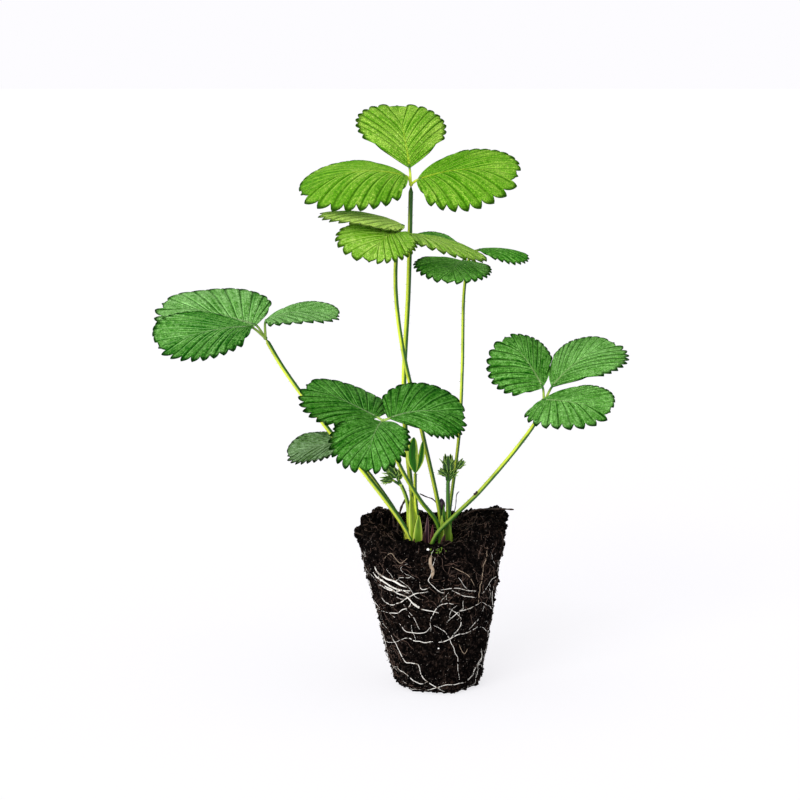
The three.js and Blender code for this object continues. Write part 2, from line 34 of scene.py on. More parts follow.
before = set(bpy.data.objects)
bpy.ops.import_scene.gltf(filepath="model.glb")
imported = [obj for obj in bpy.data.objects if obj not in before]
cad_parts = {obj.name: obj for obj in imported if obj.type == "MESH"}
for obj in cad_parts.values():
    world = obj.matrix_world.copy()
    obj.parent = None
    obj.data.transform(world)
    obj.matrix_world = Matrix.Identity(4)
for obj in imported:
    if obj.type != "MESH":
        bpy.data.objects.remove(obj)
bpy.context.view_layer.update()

import math
import random
from collections import namedtuple
from functools import partial

import bmesh
import bpy
from bpy.props import FloatProperty, FloatVectorProperty, IntProperty, PointerProperty
from mathutils import Matrix, Vector, noise
from mathutils.bvhtree import BVHTree

MM = 0.001


def linear(code):
    """The scene-linear colour of an sRGB hex code such as "2a1f1a"."""
    parts = [int(code[i : i + 2], 16) / 255 for i in (0, 2, 4)]
    return [c / 12.92 if c <= 0.04045 else ((c + 0.055) / 1.055) ** 2.4 for c in parts]


def toned(colour, share):
    """The colour made darker or, up to white, lighter."""
    return [min(1, share * c) for c in colour]


def colour_choice(name, description, code):
    return FloatVectorProperty(
        name=name, description=description, subtype="COLOR", size=3, min=0, max=1, default=linear(code)
    )


def length_choice(name, description, length):
    default = length * MM
    return FloatProperty(
        name=name, description=description, subtype="DISTANCE", unit="LENGTH", precision=5, default=default
    )


def number_choice(name, description, number):
    return IntProperty(name=name, description=description, min=0, default=number)


def amount_choice(name, description, amount):
    return FloatProperty(name=name, description=description, min=0, default=amount)


# Sizes and colours that a user would change


class PeatSettings(bpy.types.PropertyGroup):
    grain: length_choice("Grain", "Size of the smallest lump in the peat's surface", 0.54)
    clods: number_choice("Clods", "Lumps round the torn rim", 210)
    fibres: number_choice("Fibres", "Brown peat fibres", 900)
    dark: colour_choice("Wet peat", "Colour in the hollows of the peat", "020101")
    light: colour_choice("Dry peat", "Colour of the crumbs that stand out", "382e29")
    fibre: colour_choice("Fibre", "Colour of the peat's fibres", "574338")
    speck: colour_choice("Speck", "Colour of the pale specks of lime and old roots", "b9b1a6")
    moss: colour_choice("Moss", "Colour of the few bits of moss at the crown", "6d8f2c")


class RootSettings(bpy.types.PropertyGroup):
    fine_roots: number_choice("Fine roots", "Thin side roots", 76)
    fine_radius: length_choice("Fine radius", "Radius of a thin side root", 0.075)
    fresh: colour_choice("Fresh root", "Colour of a young root", "e9e6de")
    old: colour_choice("Old root", "Colour of a root stained by the peat", "70604f")


class LeafSettings(bpy.types.PropertyGroup):
    thickness: length_choice("Blade thickness", "Thickness of a leaf blade", 0.45)
    pleat: length_choice("Pleat", "Height of the ridges between two veins", 0.24)
    tooth: amount_choice("Tooth depth", "Depth of a tooth as a share of the leaflet's length", 0.085)
    hairs: number_choice("Hairs", "Hairs on each stalk", 170)
    hair_length: length_choice("Hair length", "Length of a hair on a stalk", 0.8)
    # Painted sheen: the pale grey-green painted on the leaves as sheen and glints, and half of the grown
    # leaves' midrib colour
    bloom: colour_choice("Bloom", "Colour of the wax that catches the light", "c8dabe")
    under: colour_choice("Underside", "Colour of the leaf's underside", "8fb06a")
    stalk: colour_choice("Stalk", "Colour of a stalk on its sunny side", "d8e83c")
    # The stalk's shade colour is painted shade on its side away from the key light, and the colour of
    # random darker patches
    stalk_painted_shade_and_patches: colour_choice("Stalk shade", "Colour of a stalk on its other side", "265a0c")


class CrownSettings(bpy.types.PropertyGroup):
    sheath: colour_choice("Sheath", "Colour of the sheaths at the stalks' feet", "d4de4a")
    base: colour_choice("Crown base", "Colour of the scaly stem at the peat", "4a2a20")
    sepal: colour_choice("Sepal", "Colour of the buds' sepals", "3a7022")
    sepal_edge: colour_choice("Sepal edge", "Colour at the tips of the sepals", "b4d46c")


class StageSettings(bpy.types.PropertyGroup):
    floor: colour_choice("Floor", "Colour of the white floor and backdrop", "fdfcff")
    glow: amount_choice("Glow", "Light that the floor gives off, as over a light table", 0.74)
    bright: amount_choice("Bright side", "Even light from the key's side", 1.02)
    dim: amount_choice("Dim side", "Even light from the other side", 0.36)
    key: amount_choice("Key light", "Strength of the soft sun from the upper left", 1.9)


# Small tools


def only(*pieces):
    """Selects these pieces alone, or none, and makes the first one active."""
    bpy.ops.object.select_all(action="DESELECT")
    for piece in reversed(pieces):
        piece.select_set(True)
        bpy.context.view_layer.objects.active = piece


def tidy_mesh(piece, merge=0.01, outward=True):
    """Merges points that meet and, on a closed shell, turns all faces outwards."""
    only(piece)
    bpy.ops.object.mode_set(mode="EDIT")
    bpy.ops.mesh.select_all(action="SELECT")
    bpy.ops.mesh.remove_doubles(threshold=merge * MM)
    if outward:
        bpy.ops.mesh.normals_make_consistent(inside=False)
    bpy.ops.object.mode_set(mode="OBJECT")
    return piece


def finish_with(piece, kind, **settings):
    """Adds one modifier with its settings and applies it."""
    only(piece)
    modifier = piece.modifiers.new(kind.title(), kind)
    for name, value in settings.items():
        setattr(modifier, name, value)
    bpy.ops.object.modifier_apply(modifier=modifier.name)
    return piece


def roughen(piece, size, height, kind="SOFT_NOISE", middle=0.5):
    """Moves the surface in and out by lumps of this size and height in millimetres."""
    lumps = bpy.data.textures.new("lumps", "CLOUDS")
    lumps.noise_scale = size * MM
    lumps.noise_type = kind
    finish_with(
        piece, "DISPLACE", texture=lumps, texture_coords="LOCAL", strength=height * MM, mid_level=middle
    )


def joined(*pieces):
    """One piece out of several, with all their materials."""
    only(*pieces)
    bpy.ops.object.join()
    return pieces[0]


def dress(piece, degrees, *materials):
    """Shades the piece smooth, but for edges sharper than this, and gives it its materials."""
    only(piece)
    bpy.ops.object.shade_smooth_by_angle(angle=math.radians(degrees))
    for material in materials:
        piece.data.materials.append(material)
    return piece


def settle(piece, name, slot, *nodes):
    """Names the finished piece, which rides on the plant and stands for these CAD nodes."""
    piece.name = name
    piece.data.name = name
    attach(piece, "root")
    if nodes:
        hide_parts(*nodes)


def sheet(across, along, place, chart=None):
    """A grid primitive whose points go to place(u, v) in millimetres, u and v from 0 to 1.
    chart(u, v) gives the point's place in the piece's own map."""
    only()
    bpy.ops.mesh.primitive_grid_add(
        x_subdivisions=across, y_subdivisions=along, size=1, location=(0, 0, 0)
    )
    made = bpy.context.object
    if chart:
        for spot in made.data.uv_layers.active.data:
            spot.uv = chart(*spot.uv)
    for vertex in made.data.vertices:
        vertex.co = place(vertex.co.x + 0.5, vertex.co.y + 0.5) * MM
    return made


def strands(routes, roundness=1):
    """Round strands with closed ends, one for each route of (point, radius) in millimetres."""
    only()
    bpy.ops.curve.primitive_bezier_curve_add(location=(0, 0, 0))
    curve = bpy.context.object.data
    curve.splines.clear()
    curve.bevel_depth = 1
    curve.bevel_resolution = roundness
    curve.use_fill_caps = True
    for route in routes:
        spline = curve.splines.new("POLY")
        spline.points.add(len(route) - 1)
        for spot, (point, radius) in zip(spline.points, route):
            spot.co = (*(Vector(point) * MM), 1)
            spot.radius = radius * MM
    bpy.ops.object.convert(target="MESH")
    return bpy.context.object


def ball_place(centre, radii, spin=Matrix()):
    """Where a ball of radius 1 goes to have this centre and these radii in millimetres."""
    return Matrix.Translation(Vector(centre) * MM) @ spin @ Matrix.Diagonal((*(Vector(radii) * MM), 1))


def balls(detail, places):
    """One mesh with a copy of the ball primitive at each place."""
    only()
    bpy.ops.mesh.primitive_ico_sphere_add(subdivisions=detail, radius=1, location=(0, 0, 0))
    made = bpy.context.object
    shape = bmesh.new()
    for place in places:
        mesh = made.data.copy()
        mesh.transform(place)
        shape.from_mesh(mesh)
        bpy.data.meshes.remove(mesh)
    shape.to_mesh(made.data)
    shape.free()
    return made


def spline_points(points, steps):
    """A smooth line through the points, with steps parts of even length."""
    points = [Vector(p) for p in points]
    ends = [2 * points[0] - points[1], *points, 2 * points[-1] - points[-2]]
    dense = []
    for p0, p1, p2, p3 in zip(ends, ends[1:], ends[2:], ends[3:]):
        d0, d1, d2 = (max((b - a).length, 1e-6) ** 0.5 for a, b in ((p0, p1), (p1, p2), (p2, p3)))
        start = ((p1 - p0) / d0 - (p2 - p0) / (d0 + d1) + (p2 - p1) / d1) * d1
        end = ((p2 - p1) / d1 - (p3 - p1) / (d1 + d2) + (p3 - p2) / d2) * d1
        for i in range(24):
            t = i / 24
            bend = (2 * p1 - 2 * p2 + start + end) * t**3
            bow = (3 * p2 - 3 * p1 - 2 * start - end) * t**2
            dense.append(bend + bow + start * t + p1)
    dense.append(points[-1])
    reach = [0.0]
    for a, b in zip(dense, dense[1:]):
        reach.append(reach[-1] + (b - a).length)
    line, spot = [], 0
    for i in range(steps + 1):
        goal = reach[-1] * i / steps
        while spot < len(dense) - 2 and reach[spot + 1] < goal:
            spot += 1
        share = (goal - reach[spot]) / max(reach[spot + 1] - reach[spot], 1e-9)
        line.append(dense[spot].lerp(dense[spot + 1], min(share, 1)))
    return line


def frames_along(line):
    """For each point of a line: the point and two directions square to the line. The first one
    keeps to the left side, where the plant gets most light."""
    normal = Vector((-1, 0, 0))
    found = []
    for i, point in enumerate(line):
        way = (line[min(i + 1, len(line) - 1)] - line[max(i - 1, 0)]).normalized()
        normal = (normal - way * normal.dot(way)).normalized()
        found.append((point, normal, way.cross(normal)))
    return found


def even(values, share):
    """A value that runs evenly through a list of values as share runs from 0 to 1."""
    place = share * (len(values) - 1)
    step = min(int(place), len(values) - 2)
    return values[step] + (values[step + 1] - values[step]) * (place - step)


def wrapped(line, across, radius_at):
    """A closed skin round a line. radius_at(u, v) gives its radius in millimetres, or two."""
    frames = frames_along(line)

    def place(u, v):
        point, normal, deep = frames[round(v * (len(line) - 1))]
        if v in (0, 1):
            return point
        radius = radius_at(u, v)
        wide, thick = radius if isinstance(radius, tuple) else (radius, radius)
        turn = 2 * math.pi * u
        return point + normal * wide * math.cos(turn) + deep * thick * math.sin(turn)

    return tidy_mesh(sheet(across, len(line) - 1, place), 0.005)


def facing(turn):
    """The level direction at this turn about the upright axis."""
    return Vector((math.cos(turn), math.sin(turn), 0))


# Materials


def in_use(sockets, name=None):
    """The first socket, of this name if one is given, that the node's settings leave in use."""
    return next(s for s in sockets if s.enabled and name in (None, s.name))


def feed(node, inputs):
    """Gives inputs, by name or number, a value or a link. A node stands for its first output."""
    for name, value in inputs.items():
        socket = node.inputs[name] if isinstance(name, int) else in_use(node.inputs, name)
        if isinstance(value, bpy.types.Node):
            value = in_use(value.outputs)
        if isinstance(value, bpy.types.NodeSocket):
            node.id_data.links.new(value, socket)
        else:
            socket.default_value = (*value, 1) if socket.type == "RGBA" else value


def add_node(tree, kind, inputs=None, stops=(), **settings):
    """Adds a node with its settings and inputs, and a colour ramp's places and colours."""
    node = tree.nodes.new("ShaderNode" + kind)
    for name, value in settings.items():
        setattr(node, name, value)
    feed(node, inputs or {})
    for _ in stops[2:]:
        node.color_ramp.elements.new(1)
    for i, (place, colour) in enumerate(stops):
        node.color_ramp.elements[i].position = place
        node.color_ramp.elements[i].color = (*colour, 1)
    return node


def new_material(name, **finish):
    """A material, what adds nodes to it, and its shader with the finish set on its sockets."""
    material = bpy.data.materials.new(name)
    material.use_nodes = True
    shader = material.node_tree.nodes["Principled BSDF"]
    feed(shader, {socket.replace("_", " "): value for socket, value in finish.items()})
    return material, partial(add_node, material.node_tree), shader


def per_metre(millimetres):
    """The scale of a texture whose cells are this wide."""
    return 1 / (millimetres * MM)


def peat_material(settings):
    # Moist sphagnum peat, pressed by a pot: almost black, dead matt, with crumbs, patches of
    # reddish fibres and a few pale specks
    material, add, shader = new_material("moist_peat", Roughness=0.85, Specular_IOR_Level=0.03)
    place = add("TexCoord").outputs["Object"]
    crumbs = add("TexNoise", {"Vector": place, "Scale": per_metre(1.4), "Detail": 6, "Roughness": 0.75})
    dirt = add("ValToRGB", {"Fac": crumbs}, [(0.52, settings.dark), (0.68, settings.light)])
    # The fibres are the edges of cells, bent by a coarser noise
    bend = add("TexNoise", {"Vector": place, "Scale": per_metre(9), "Detail": 2})
    turned = add("VectorMath", {0: bend.outputs["Color"], 1: (0.02, 0.02, 0.02)}, operation="MULTIPLY")
    bent = add("VectorMath", {0: place, 1: turned}, operation="ADD")
    fibres = add("TexVoronoi", {"Vector": bent, "Scale": per_metre(3.2)}, feature="DISTANCE_TO_EDGE")
    thread = add("MapRange", {"Value": fibres, "From Min": 0.05, "From Max": 0})
    patch = add("TexNoise", {"Vector": place, "Scale": per_metre(7), "Detail": 3})
    shown = add("MapRange", {"Value": patch, "From Min": 0.52, "From Max": 0.7, "To Max": 0.6})
    fibrous = add("Math", {0: thread, 1: shown}, operation="MULTIPLY")
    dots = add("TexVoronoi", {"Vector": place, "Scale": per_metre(1.5)})
    dot = add("MapRange", {"Value": dots, "From Min": 0.13, "From Max": 0.07, "To Max": 0.5})
    surface = dirt
    for share, colour in ((fibrous, settings.fibre), (dot, settings.speck)):
        surface = add("Mix", {"Factor": share, "A": surface, "B": colour}, data_type="RGBA")
    bump = add("Bump", {"Height": crumbs, "Strength": 1, "Distance": 0.9 * MM})
    feed(shader, {"Base Color": surface, "Normal": bump})
    return material


def root_material(name, fresh, stain):
    # Root, fibre, twig, moss, perlite or crown scale: matt with a faint wax, clean in places and
    # stained in others
    material, add, shader = new_material(name, Roughness=0.6, Specular_IOR_Level=0.3)
    place = add("TexCoord").outputs["Object"]
    dirt = add("TexNoise", {"Vector": place, "Scale": per_metre(2.5), "Detail": 4, "Roughness": 0.65})
    feed(shader, {"Base Color": add("ValToRGB", {"Fac": dirt}, [(0.36, stain), (0.48, fresh)])})
    return material


def blade_material(name, deep, pale, vein, settings):
    # Strawberry leaf, upper side: crinkled, slightly waxy green, with thin sunken veins, a fine net
    # and a pale midrib near the base. Painted into the colour are painted shade on one side of each
    # vein, in the fine net and at the tips of the teeth, a painted highlight next to each vein and a
    # little on the crests between veins, and painted glints. A point attribute says how much painted
    # sheen and painted light a place has; it lightens leaflets that lie in shade. U counts the veins,
    # which lie at the halves, and V runs from the midrib (0) to the edge (1).
    material, add, shader = new_material(name, Roughness=0.5, Specular_IOR_Level=0.03)
    place = add("TexCoord").outputs["Object"]
    chart = add("UVMap", uv_map="UVMap")
    split = add("SeparateXYZ", {0: chart})
    count, out = split.outputs["X"], split.outputs["Y"]

    def line_by_vein(shift, low, high, most):
        # A thin line along each vein, moved to one side by a share of the space between two
        moved = add("Math", {0: count, 1: shift}, operation="ADD")
        wave = add("Math", {0: moved, 1: 0.5}, operation="PINGPONG")
        return add("MapRange", {"Value": wave, "From Min": low, "From Max": high, "To Max": most})

    # How far a point lies from the nearest vein, from 0 to 0.5 of the space between two
    wave = add("Math", {0: count, 1: 0.5}, operation="PINGPONG")
    away = add("Math", {0: 0.5, 1: wave}, operation="SUBTRACT")
    # Streaks along the veins, and a fine grain over them
    drawn = add("VectorMath", {0: chart, 1: (3.2, 1.6, 1)}, operation="MULTIPLY")
    streaks = add("TexNoise", {"Vector": drawn, "Scale": 1, "Detail": 3, "Roughness": 0.6})
    grain = add("TexNoise", {"Vector": place, "Scale": per_metre(1.6), "Detail": 3, "Roughness": 0.8})
    mottle = add("Mix", {"Factor": 0.5, "A": streaks, "B": grain})
    # Painted light and shade: the crests between the veins are a little lighter and the blade by the veins
    # a little darker; the rest of the spread is random mottle
    mottle_and_painted_crest_light = add("Math", {0: away, 1: 0.15, 2: mottle}, operation="MULTIPLY_ADD")
    bloom = add("Attribute", attribute_name="bloom").outputs["Fac"]
    lifted = add("Math", {0: bloom, 1: 0.2, 2: mottle_and_painted_crest_light}, operation="MULTIPLY_ADD")
    # Most of the blade is more saturated than the mean of the two greens
    middle = [k * (a + b) for k, a, b in zip((0.38, 0.48, 0.26), deep, pale)]
    # Painted light: the lightest green is reached mostly where the painted sheen lifts leaflets that lie
    # in shade; it is also the colour of the painted highlight next to the veins
    light = toned(pale, 1.45)
    surface = add("ValToRGB", {"Fac": lifted}, [(0.45, deep), (0.55, middle), (0.66, pale), (0.78, light)])
    # Painted highlights: small pale glints, more of them where there is more painted sheen
    glint = add("MapRange", {"Value": grain, "From Min": 0.58, "From Max": 0.7, "To Max": 0.5})
    glints = add("Math", {0: glint, 1: bloom}, operation="MULTIPLY")
    # Painted shade: darker lines along a net of fine furrows, and a dark band on the side of each vein
    # away from the light
    net = add("TexVoronoi", {"Vector": place, "Scale": per_metre(0.95)}, feature="DISTANCE_TO_EDGE")
    cell = add("MapRange", {"Value": net, "From Min": 0, "From Max": 0.14})
    painted_net_shade = add("MapRange", {"Value": cell, "From Min": 1, "From Max": 0, "To Max": 0.4})
    painted_groove_shade = add("Math", {0: painted_net_shade, 1: line_by_vein(-0.06, 0.38, 0.46, 0.58)}, operation="MAXIMUM")
    # Painted highlight: a hair-thin pale line next to each vein, on its lit side, fading towards the edge
    fading = add("Math", {0: 1, 1: out}, operation="SUBTRACT")
    painted_vein_highlight = add("Math", {0: line_by_vein(0.09, 0.44, 0.48, 0.75), 1: fading}, operation="MULTIPLY")
    # The midrib is palest near the base
    rib = add("MapRange", {"Value": out, "From Min": 0.032, "From Max": 0.012})
    near = add("MapRange", {"Value": count, "From Min": -0.5, "From Max": 5, "To Min": 0.8, "To Max": 0.3})
    midrib = add("Math", {0: rib, 1: near}, operation="MULTIPLY")
    # Painted shade: a dark edge, widest at the tips of the teeth
    edge = add("Math", {0: away, 1: -0.14, 2: out}, operation="MULTIPLY_ADD")
    rim = add("MapRange", {"Value": edge, "From Min": 0.89, "From Max": 0.96, "To Max": 0.95})
    # Colours of the painted shade in the furrows and at the edge
    painted_groove_colour, dark = toned(deep, 0.3), toned(deep, 0.22)
    layers = ((glints, settings.bloom), (painted_groove_shade, painted_groove_colour), (painted_vein_highlight, light), (midrib, vein), (rim, dark))
    for share, colour in layers:
        surface = add("Mix", {"Factor": share, "A": surface, "B": colour}, data_type="RGBA")
    sunk = add("MapRange", {"Value": away, "From Min": 0, "From Max": 0.12, "To Max": 1.6})
    height = add("Math", {0: sunk, 1: cell}, operation="ADD")
    bump = add("Bump", {"Height": height, "Strength": 0.8, "Distance": 0.32 * MM})
    feed(shader, {"Base Color": surface, "Normal": bump})
    return material


def underside_material(settings):
    # Strawberry leaf, underside: paler and greyer, downy, with the veins standing out
    finish = {"Roughness": 0.6, "Specular_IOR_Level": 0.3, "Sheen_Weight": 0.3}
    material, add, shader = new_material("leaf_underside", **finish)
    place = add("TexCoord").outputs["Object"]
    count = add("SeparateXYZ", {0: add("UVMap", uv_map="UVMap")})
    wave = add("Math", {0: count, 1: 0.5}, operation="PINGPONG")
    vein = add("MapRange", {"Value": wave, "From Min": 0.41, "From Max": 0.48})
    net = add("TexVoronoi", {"Vector": place, "Scale": per_metre(1.25)}, feature="DISTANCE_TO_EDGE")
    cell = add("MapRange", {"Value": net, "From Min": 0.14, "From Max": 0, "To Max": 0.5})
    raised = add("Math", {0: vein, 1: cell}, operation="MAXIMUM")
    tint = add("ValToRGB", {"Fac": raised}, [(0, settings.under), (1, toned(settings.under, 1.5))])
    bump = add("Bump", {"Height": raised, "Strength": 0.6, "Distance": 0.3 * MM})
    feed(shader, {"Base Color": tint, "Normal": bump})
    return material


STALK_RIBS = 7
# Heights in millimetres over which the colour goes from the foot's to the upper one: on a leaf's
# stalk, on the sheaths, on a bud truss and on the dark bud
STALK_REACH = (74, 110)
SHEATH_REACH = (66.5, 73)
TRUSS_REACH = (74, 88)
DARK_BUD_REACH = (83, 85)
# Heights over which the tallest stalk turns green
TOP_GREEN = (198, 218)


def stem_material(name, low, high, shade, reach=STALK_REACH, top_green=0):
    # Living stalk, sheath or bud: smooth, juicy and a little shiny, with faint ribs along it, yellow
    # on the side towards the key light and painted shade in a darker green on the other side, with
    # random darker patches of that green (U runs round it from the lit side).
    # The colour runs from low to high over the heights in reach (millimetres). The topmost part
    # of the tallest stalk is green all round, as much as top_green says.
    material, add, shader = new_material(name, Roughness=0.42, Specular_IOR_Level=0.35)
    place = add("TexCoord").outputs["Object"]
    level = add("SeparateXYZ", {0: place}).outputs["Z"]
    climb = add("MapRange", {"Value": level, "From Min": reach[0] * MM, "From Max": reach[1] * MM})
    tint = add("ValToRGB", {"Fac": climb}, [(0, low), (1, high)])
    around = add("SeparateXYZ", {0: add("UVMap", uv_map="UVMap")})
    turn = add("Math", {0: around, 1: 2 * math.pi}, operation="MULTIPLY")
    sunny = add("Math", {0: turn}, operation="COSINE")
    # Painted shade: the side away from the key light takes the darker green
    side = add("MapRange", {"Value": sunny, "From Min": 0.4, "From Max": -0.3})
    noisy = add("TexNoise", {"Vector": place, "Scale": per_metre(11), "Detail": 3})
    patch = add("MapRange", {"Value": noisy, "From Min": 0.5, "From Max": 0.75, "To Max": 0.45})
    heights = {"From Min": TOP_GREEN[0] * MM, "From Max": TOP_GREEN[1] * MM}
    top = add("MapRange", {"Value": level, **heights, "To Max": top_green})
    painted_shade_and_patches = add("Math", {0: side, 1: patch}, operation="ADD")
    share = add("Math", {0: painted_shade_and_patches, 1: top}, operation="ADD", use_clamp=True)
    mixed = add("Mix", {"Factor": share, "A": tint, "B": shade}, data_type="RGBA")
    rib_turn = add("Math", {0: turn, 1: STALK_RIBS}, operation="MULTIPLY")
    ribs = add("Math", {0: rib_turn}, operation="SINE")
    bump = add("Bump", {"Height": ribs, "Strength": 0.3, "Distance": 0.08 * MM})
    feed(shader, {"Base Color": mixed, "Normal": bump})
    return material


def scale_material(name, middle, rim):
    # Thin scale, sheath or folded leaflet: satin, with long darker streaks and a pale rim. U runs
    # round it and is 0 and 0.5 on its two rims.
    material, add, shader = new_material(name, Roughness=0.5, Specular_IOR_Level=0.15)
    around = add("SeparateXYZ", {0: add("UVMap", uv_map="UVMap")})
    turn = add("Math", {0: around, 1: 2 * math.pi}, operation="MULTIPLY")
    wave = add("Math", {0: turn}, operation="COSINE")
    side = add("Math", {0: wave}, operation="ABSOLUTE")
    edge = add("MapRange", {"Value": side, "From Min": 0.3, "To Max": 0.7})
    place = add("TexCoord").outputs["Object"]
    drawn = add("VectorMath", {0: place, 1: (1, 1, 0.15)}, operation="MULTIPLY")
    streaks = add("TexNoise", {"Vector": drawn, "Scale": per_metre(0.9), "Detail": 3})
    spread = add("Math", {0: streaks, 1: 0.4, 2: edge}, operation="MULTIPLY_ADD")
    stops = [(0.16, toned(middle, 0.5)), (0.34, middle), (0.5, middle), (0.78, rim)]
    feed(shader, {"Base Color": add("ValToRGB", {"Fac": spread}, stops)})
    return material


def sepal_material(name, middle, rim):
    # Sepal: matt downy green with a paler rim and tip. U runs across it, V to its tip.
    material, add, shader = new_material(name, Roughness=0.55, Specular_IOR_Level=0.3)
    place = add("TexCoord").outputs["Object"]
    across = add("SeparateXYZ", {0: add("UVMap", uv_map="UVMap")})
    mottle = add("TexNoise", {"Vector": place, "Scale": per_metre(1.2), "Detail": 3})
    half = add("Math", {0: across, 1: 0.5}, operation="SUBTRACT")
    side = add("Math", {0: half}, operation="ABSOLUTE")
    blotched = add("Math", {0: mottle, 1: 0.35, 2: side}, operation="MULTIPLY_ADD")
    tint = add("ValToRGB", {"Fac": blotched}, [(0.26, toned(middle, 0.3)), (0.5, middle), (0.68, rim)])
    bump = add("Bump", {"Height": mottle, "Strength": 0.5, "Distance": 0.2 * MM})
    feed(shader, {"Base Color": tint, "Normal": bump})
    return material


# Root ball

# The plug's height and radii in millimetres, and how far its axis leans from the foot to the rim
PLUG_HEIGHT = 73
FOOT_RADIUS = 19.5
RIM_RADIUS = 34.3
LEAN = -3.2
# The middle of the plug's top
TOP_MIDDLE = Vector((-3, 0, 0))
# Rays that look for the peat's surface start this far from the axis, or this high
FAR_OUT = 70
FAR_UP = 110

# Roots as they lie on the plug: a radius in millimetres and a route of [turn in degrees, height].
# Turn 270 faces the viewer.
FRONT_ROOTS = (
    (0.26, ((209, 58), (214, 55), (222, 51), (236, 49), (246, 47), (252, 43), (262, 41), (273, 40))),
    (0.23, ((212, 50), (222, 50), (232, 49), (243, 50), (250, 49))),
    (0.21, ((212, 44), (225, 42), (237, 44), (246, 47), (254, 49), (265, 50))),
    (0.18, ((222, 38), (233, 39), (240, 41), (246, 43), (250, 47))),
    (0.42, ((246, 44.6), (253, 43), (260, 40.8))),
    (0.14, ((271, 68), (271, 65), (268, 58), (266, 56), (271, 52), (276, 50), (281, 49), (281, 45))),
    (0.15, ((258, 56), (258, 52), (262, 51), (267, 52.5))),
    (0.15, ((276, 51), (288, 51.5), (300, 50), (315, 48))),
    (0.14, ((285, 51), (297, 47.5), (310, 46))),
    (0.14, ((265, 31), (265, 36), (268, 39), (273, 43), (280, 44.5), (290, 44))),
    (0.15, ((265, 33), (259, 31), (247, 30), (241, 30), (235, 32), (229, 35), (222, 38))),
    (0.17, ((224, 24), (239, 27), (248, 26), (264, 26), (272, 26), (284, 27), (292, 29), (303, 29),
            (320, 31))),
    (0.12, ((268, 34), (279, 31), (284, 27), (290, 22), (294, 18), (295, 14), (298, 7))),
    (0.14, ((284, 27), (288, 29), (294, 33), (295, 36), (290, 40), (283, 42))),
    (0.14, ((281, 36), (291, 40), (301, 41), (317, 43.5))),
    (0.12, ((306, 31), (321, 36), (325, 41))),
    (0.18, ((213, 28), (223, 21), (231, 15), (241, 15), (249, 14), (249, 11), (256, 7), (268, 4),
            (279, 1.5))),
    (0.15, ((211, 11), (219, 10), (228, 9), (247, 5), (256, 6))),
    (0.15, ((252, 2), (270, 4), (286, 5), (308, 5))),
    (0.12, ((312, 6), (327, 12), (334, 18))),
    (0.12, ((331, 2), (334, 11), (330, 20))),
    (0.1, ((240, 47), (240, 44), (244, 37), (246, 30), (249, 26))),
    (0.1, ((244, 40), (250, 36), (254, 32))),
    (0.08, ((226, 47), (236, 46), (243, 46))),
    (0.08, ((291, 57), (296, 53), (301, 50))),
    (0.08, ((283, 50), (279, 47), (275, 45))),
    (0.42, ((211, 58.6), (216, 55.6), (224, 55), (236, 53.4), (247, 51.8))),
    (0.34, ((209, 56), (216, 53.4), (225, 51.8), (236, 50.6), (249, 50.6))),
)
# Roots that the peat has stained brown
OLD_ROOTS = (
    (0.8, ((269, 67.8), (268, 64.5), (269.5, 60), (269, 57))),
    (0.17, ((312, 43), (313.5, 50), (316, 58), (319, 69))),
    (0.14, ((283, 62), (292, 60), (301, 56), (306, 52))),
    (0.13, ((228, 64), (236, 67), (243, 63), (250, 66))),
    (0.12, ((296, 24), (303, 19), (309, 22))),
)
BACK_ROOTS = (
    (0.2, ((-44, 47), (-25, 53), (0, 52), (30, 46), (60, 53), (90, 48), (120, 52), (150, 46),
            (180, 53), (206, 57))),
    (0.18, ((-43, 43), (-20, 38), (10, 33), (40, 38), (80, 34), (120, 39), (160, 33), (195, 37),
           (222, 38))),
    (0.18, ((-40, 31), (-15, 26), (15, 21), (50, 26), (90, 22), (130, 27), (170, 21), (200, 22),
           (224, 24))),
    (0.2, ((-50, 6), (-30, 11), (-10, 9), (20, 6), (60, 10), (100, 6), (140, 11), (180, 7),
            (211, 11))),
    (0.16, ((10, 64), (14, 48), (6, 34), (12, 20), (8, 7))),
    (0.17, ((80, 62), (86, 48), (78, 35), (84, 22), (80, 8))),
    (0.16, ((150, 60), (156, 47), (148, 35), (154, 22), (150, 10))),
    (0.14, ((45, 60), (40, 50), (48, 40), (60, 34), (66, 24))),
    (0.14, ((118, 58), (112, 44), (122, 33), (116, 18), (106, 6))),
    (0.14, ((-12, 60), (-18, 44), (-8, 30), (-20, 14))),
    (0.14, ((186, 62), (192, 47), (184, 36), (194, 27), (188, 12))),
)
# The big lumps that stand up on the torn rim: a place and a radius in millimetres
LUMPS = (
    ((-27, 17, 75.5), 4.2),
    ((-23, 21, 75), 3),
    ((-32, 9, 74.5), 3.6),
    ((-35, -4, 71.5), 3.4),
    ((-34.5, -10, 69), 2.6),
    ((26, 17, 76), 3.8),
    ((22, 21, 75), 2.8),
    ((29.5, 9, 76), 3.2),
    ((17, -26, 71.5), 2.6),
    ((-14, -29, 71), 2.8),
    ((4, 29, 72), 3),
)
# Size and height of the lumps in the peat's surface, in millimetres, and their kind
PEAT_LUMPS = ((6, 1.8, "SOFT_NOISE"), (2.8, 2.1, "HARD_NOISE"), (1.2, 1.4, "HARD_NOISE"))
# Grains of perlite: place and radius in millimetres
PERLITE = (
    ((-5, -33.4, 70.4), 0.62),
    ((-0.1, -24.6, 23.1), 0.35),
    ((-20, -14, 33), 0.35),
    ((14, 22, 52), 0.5),
)
# A grain is a little flattened
GRAIN_SHAPE = Vector((1, 0.8, 0.9))
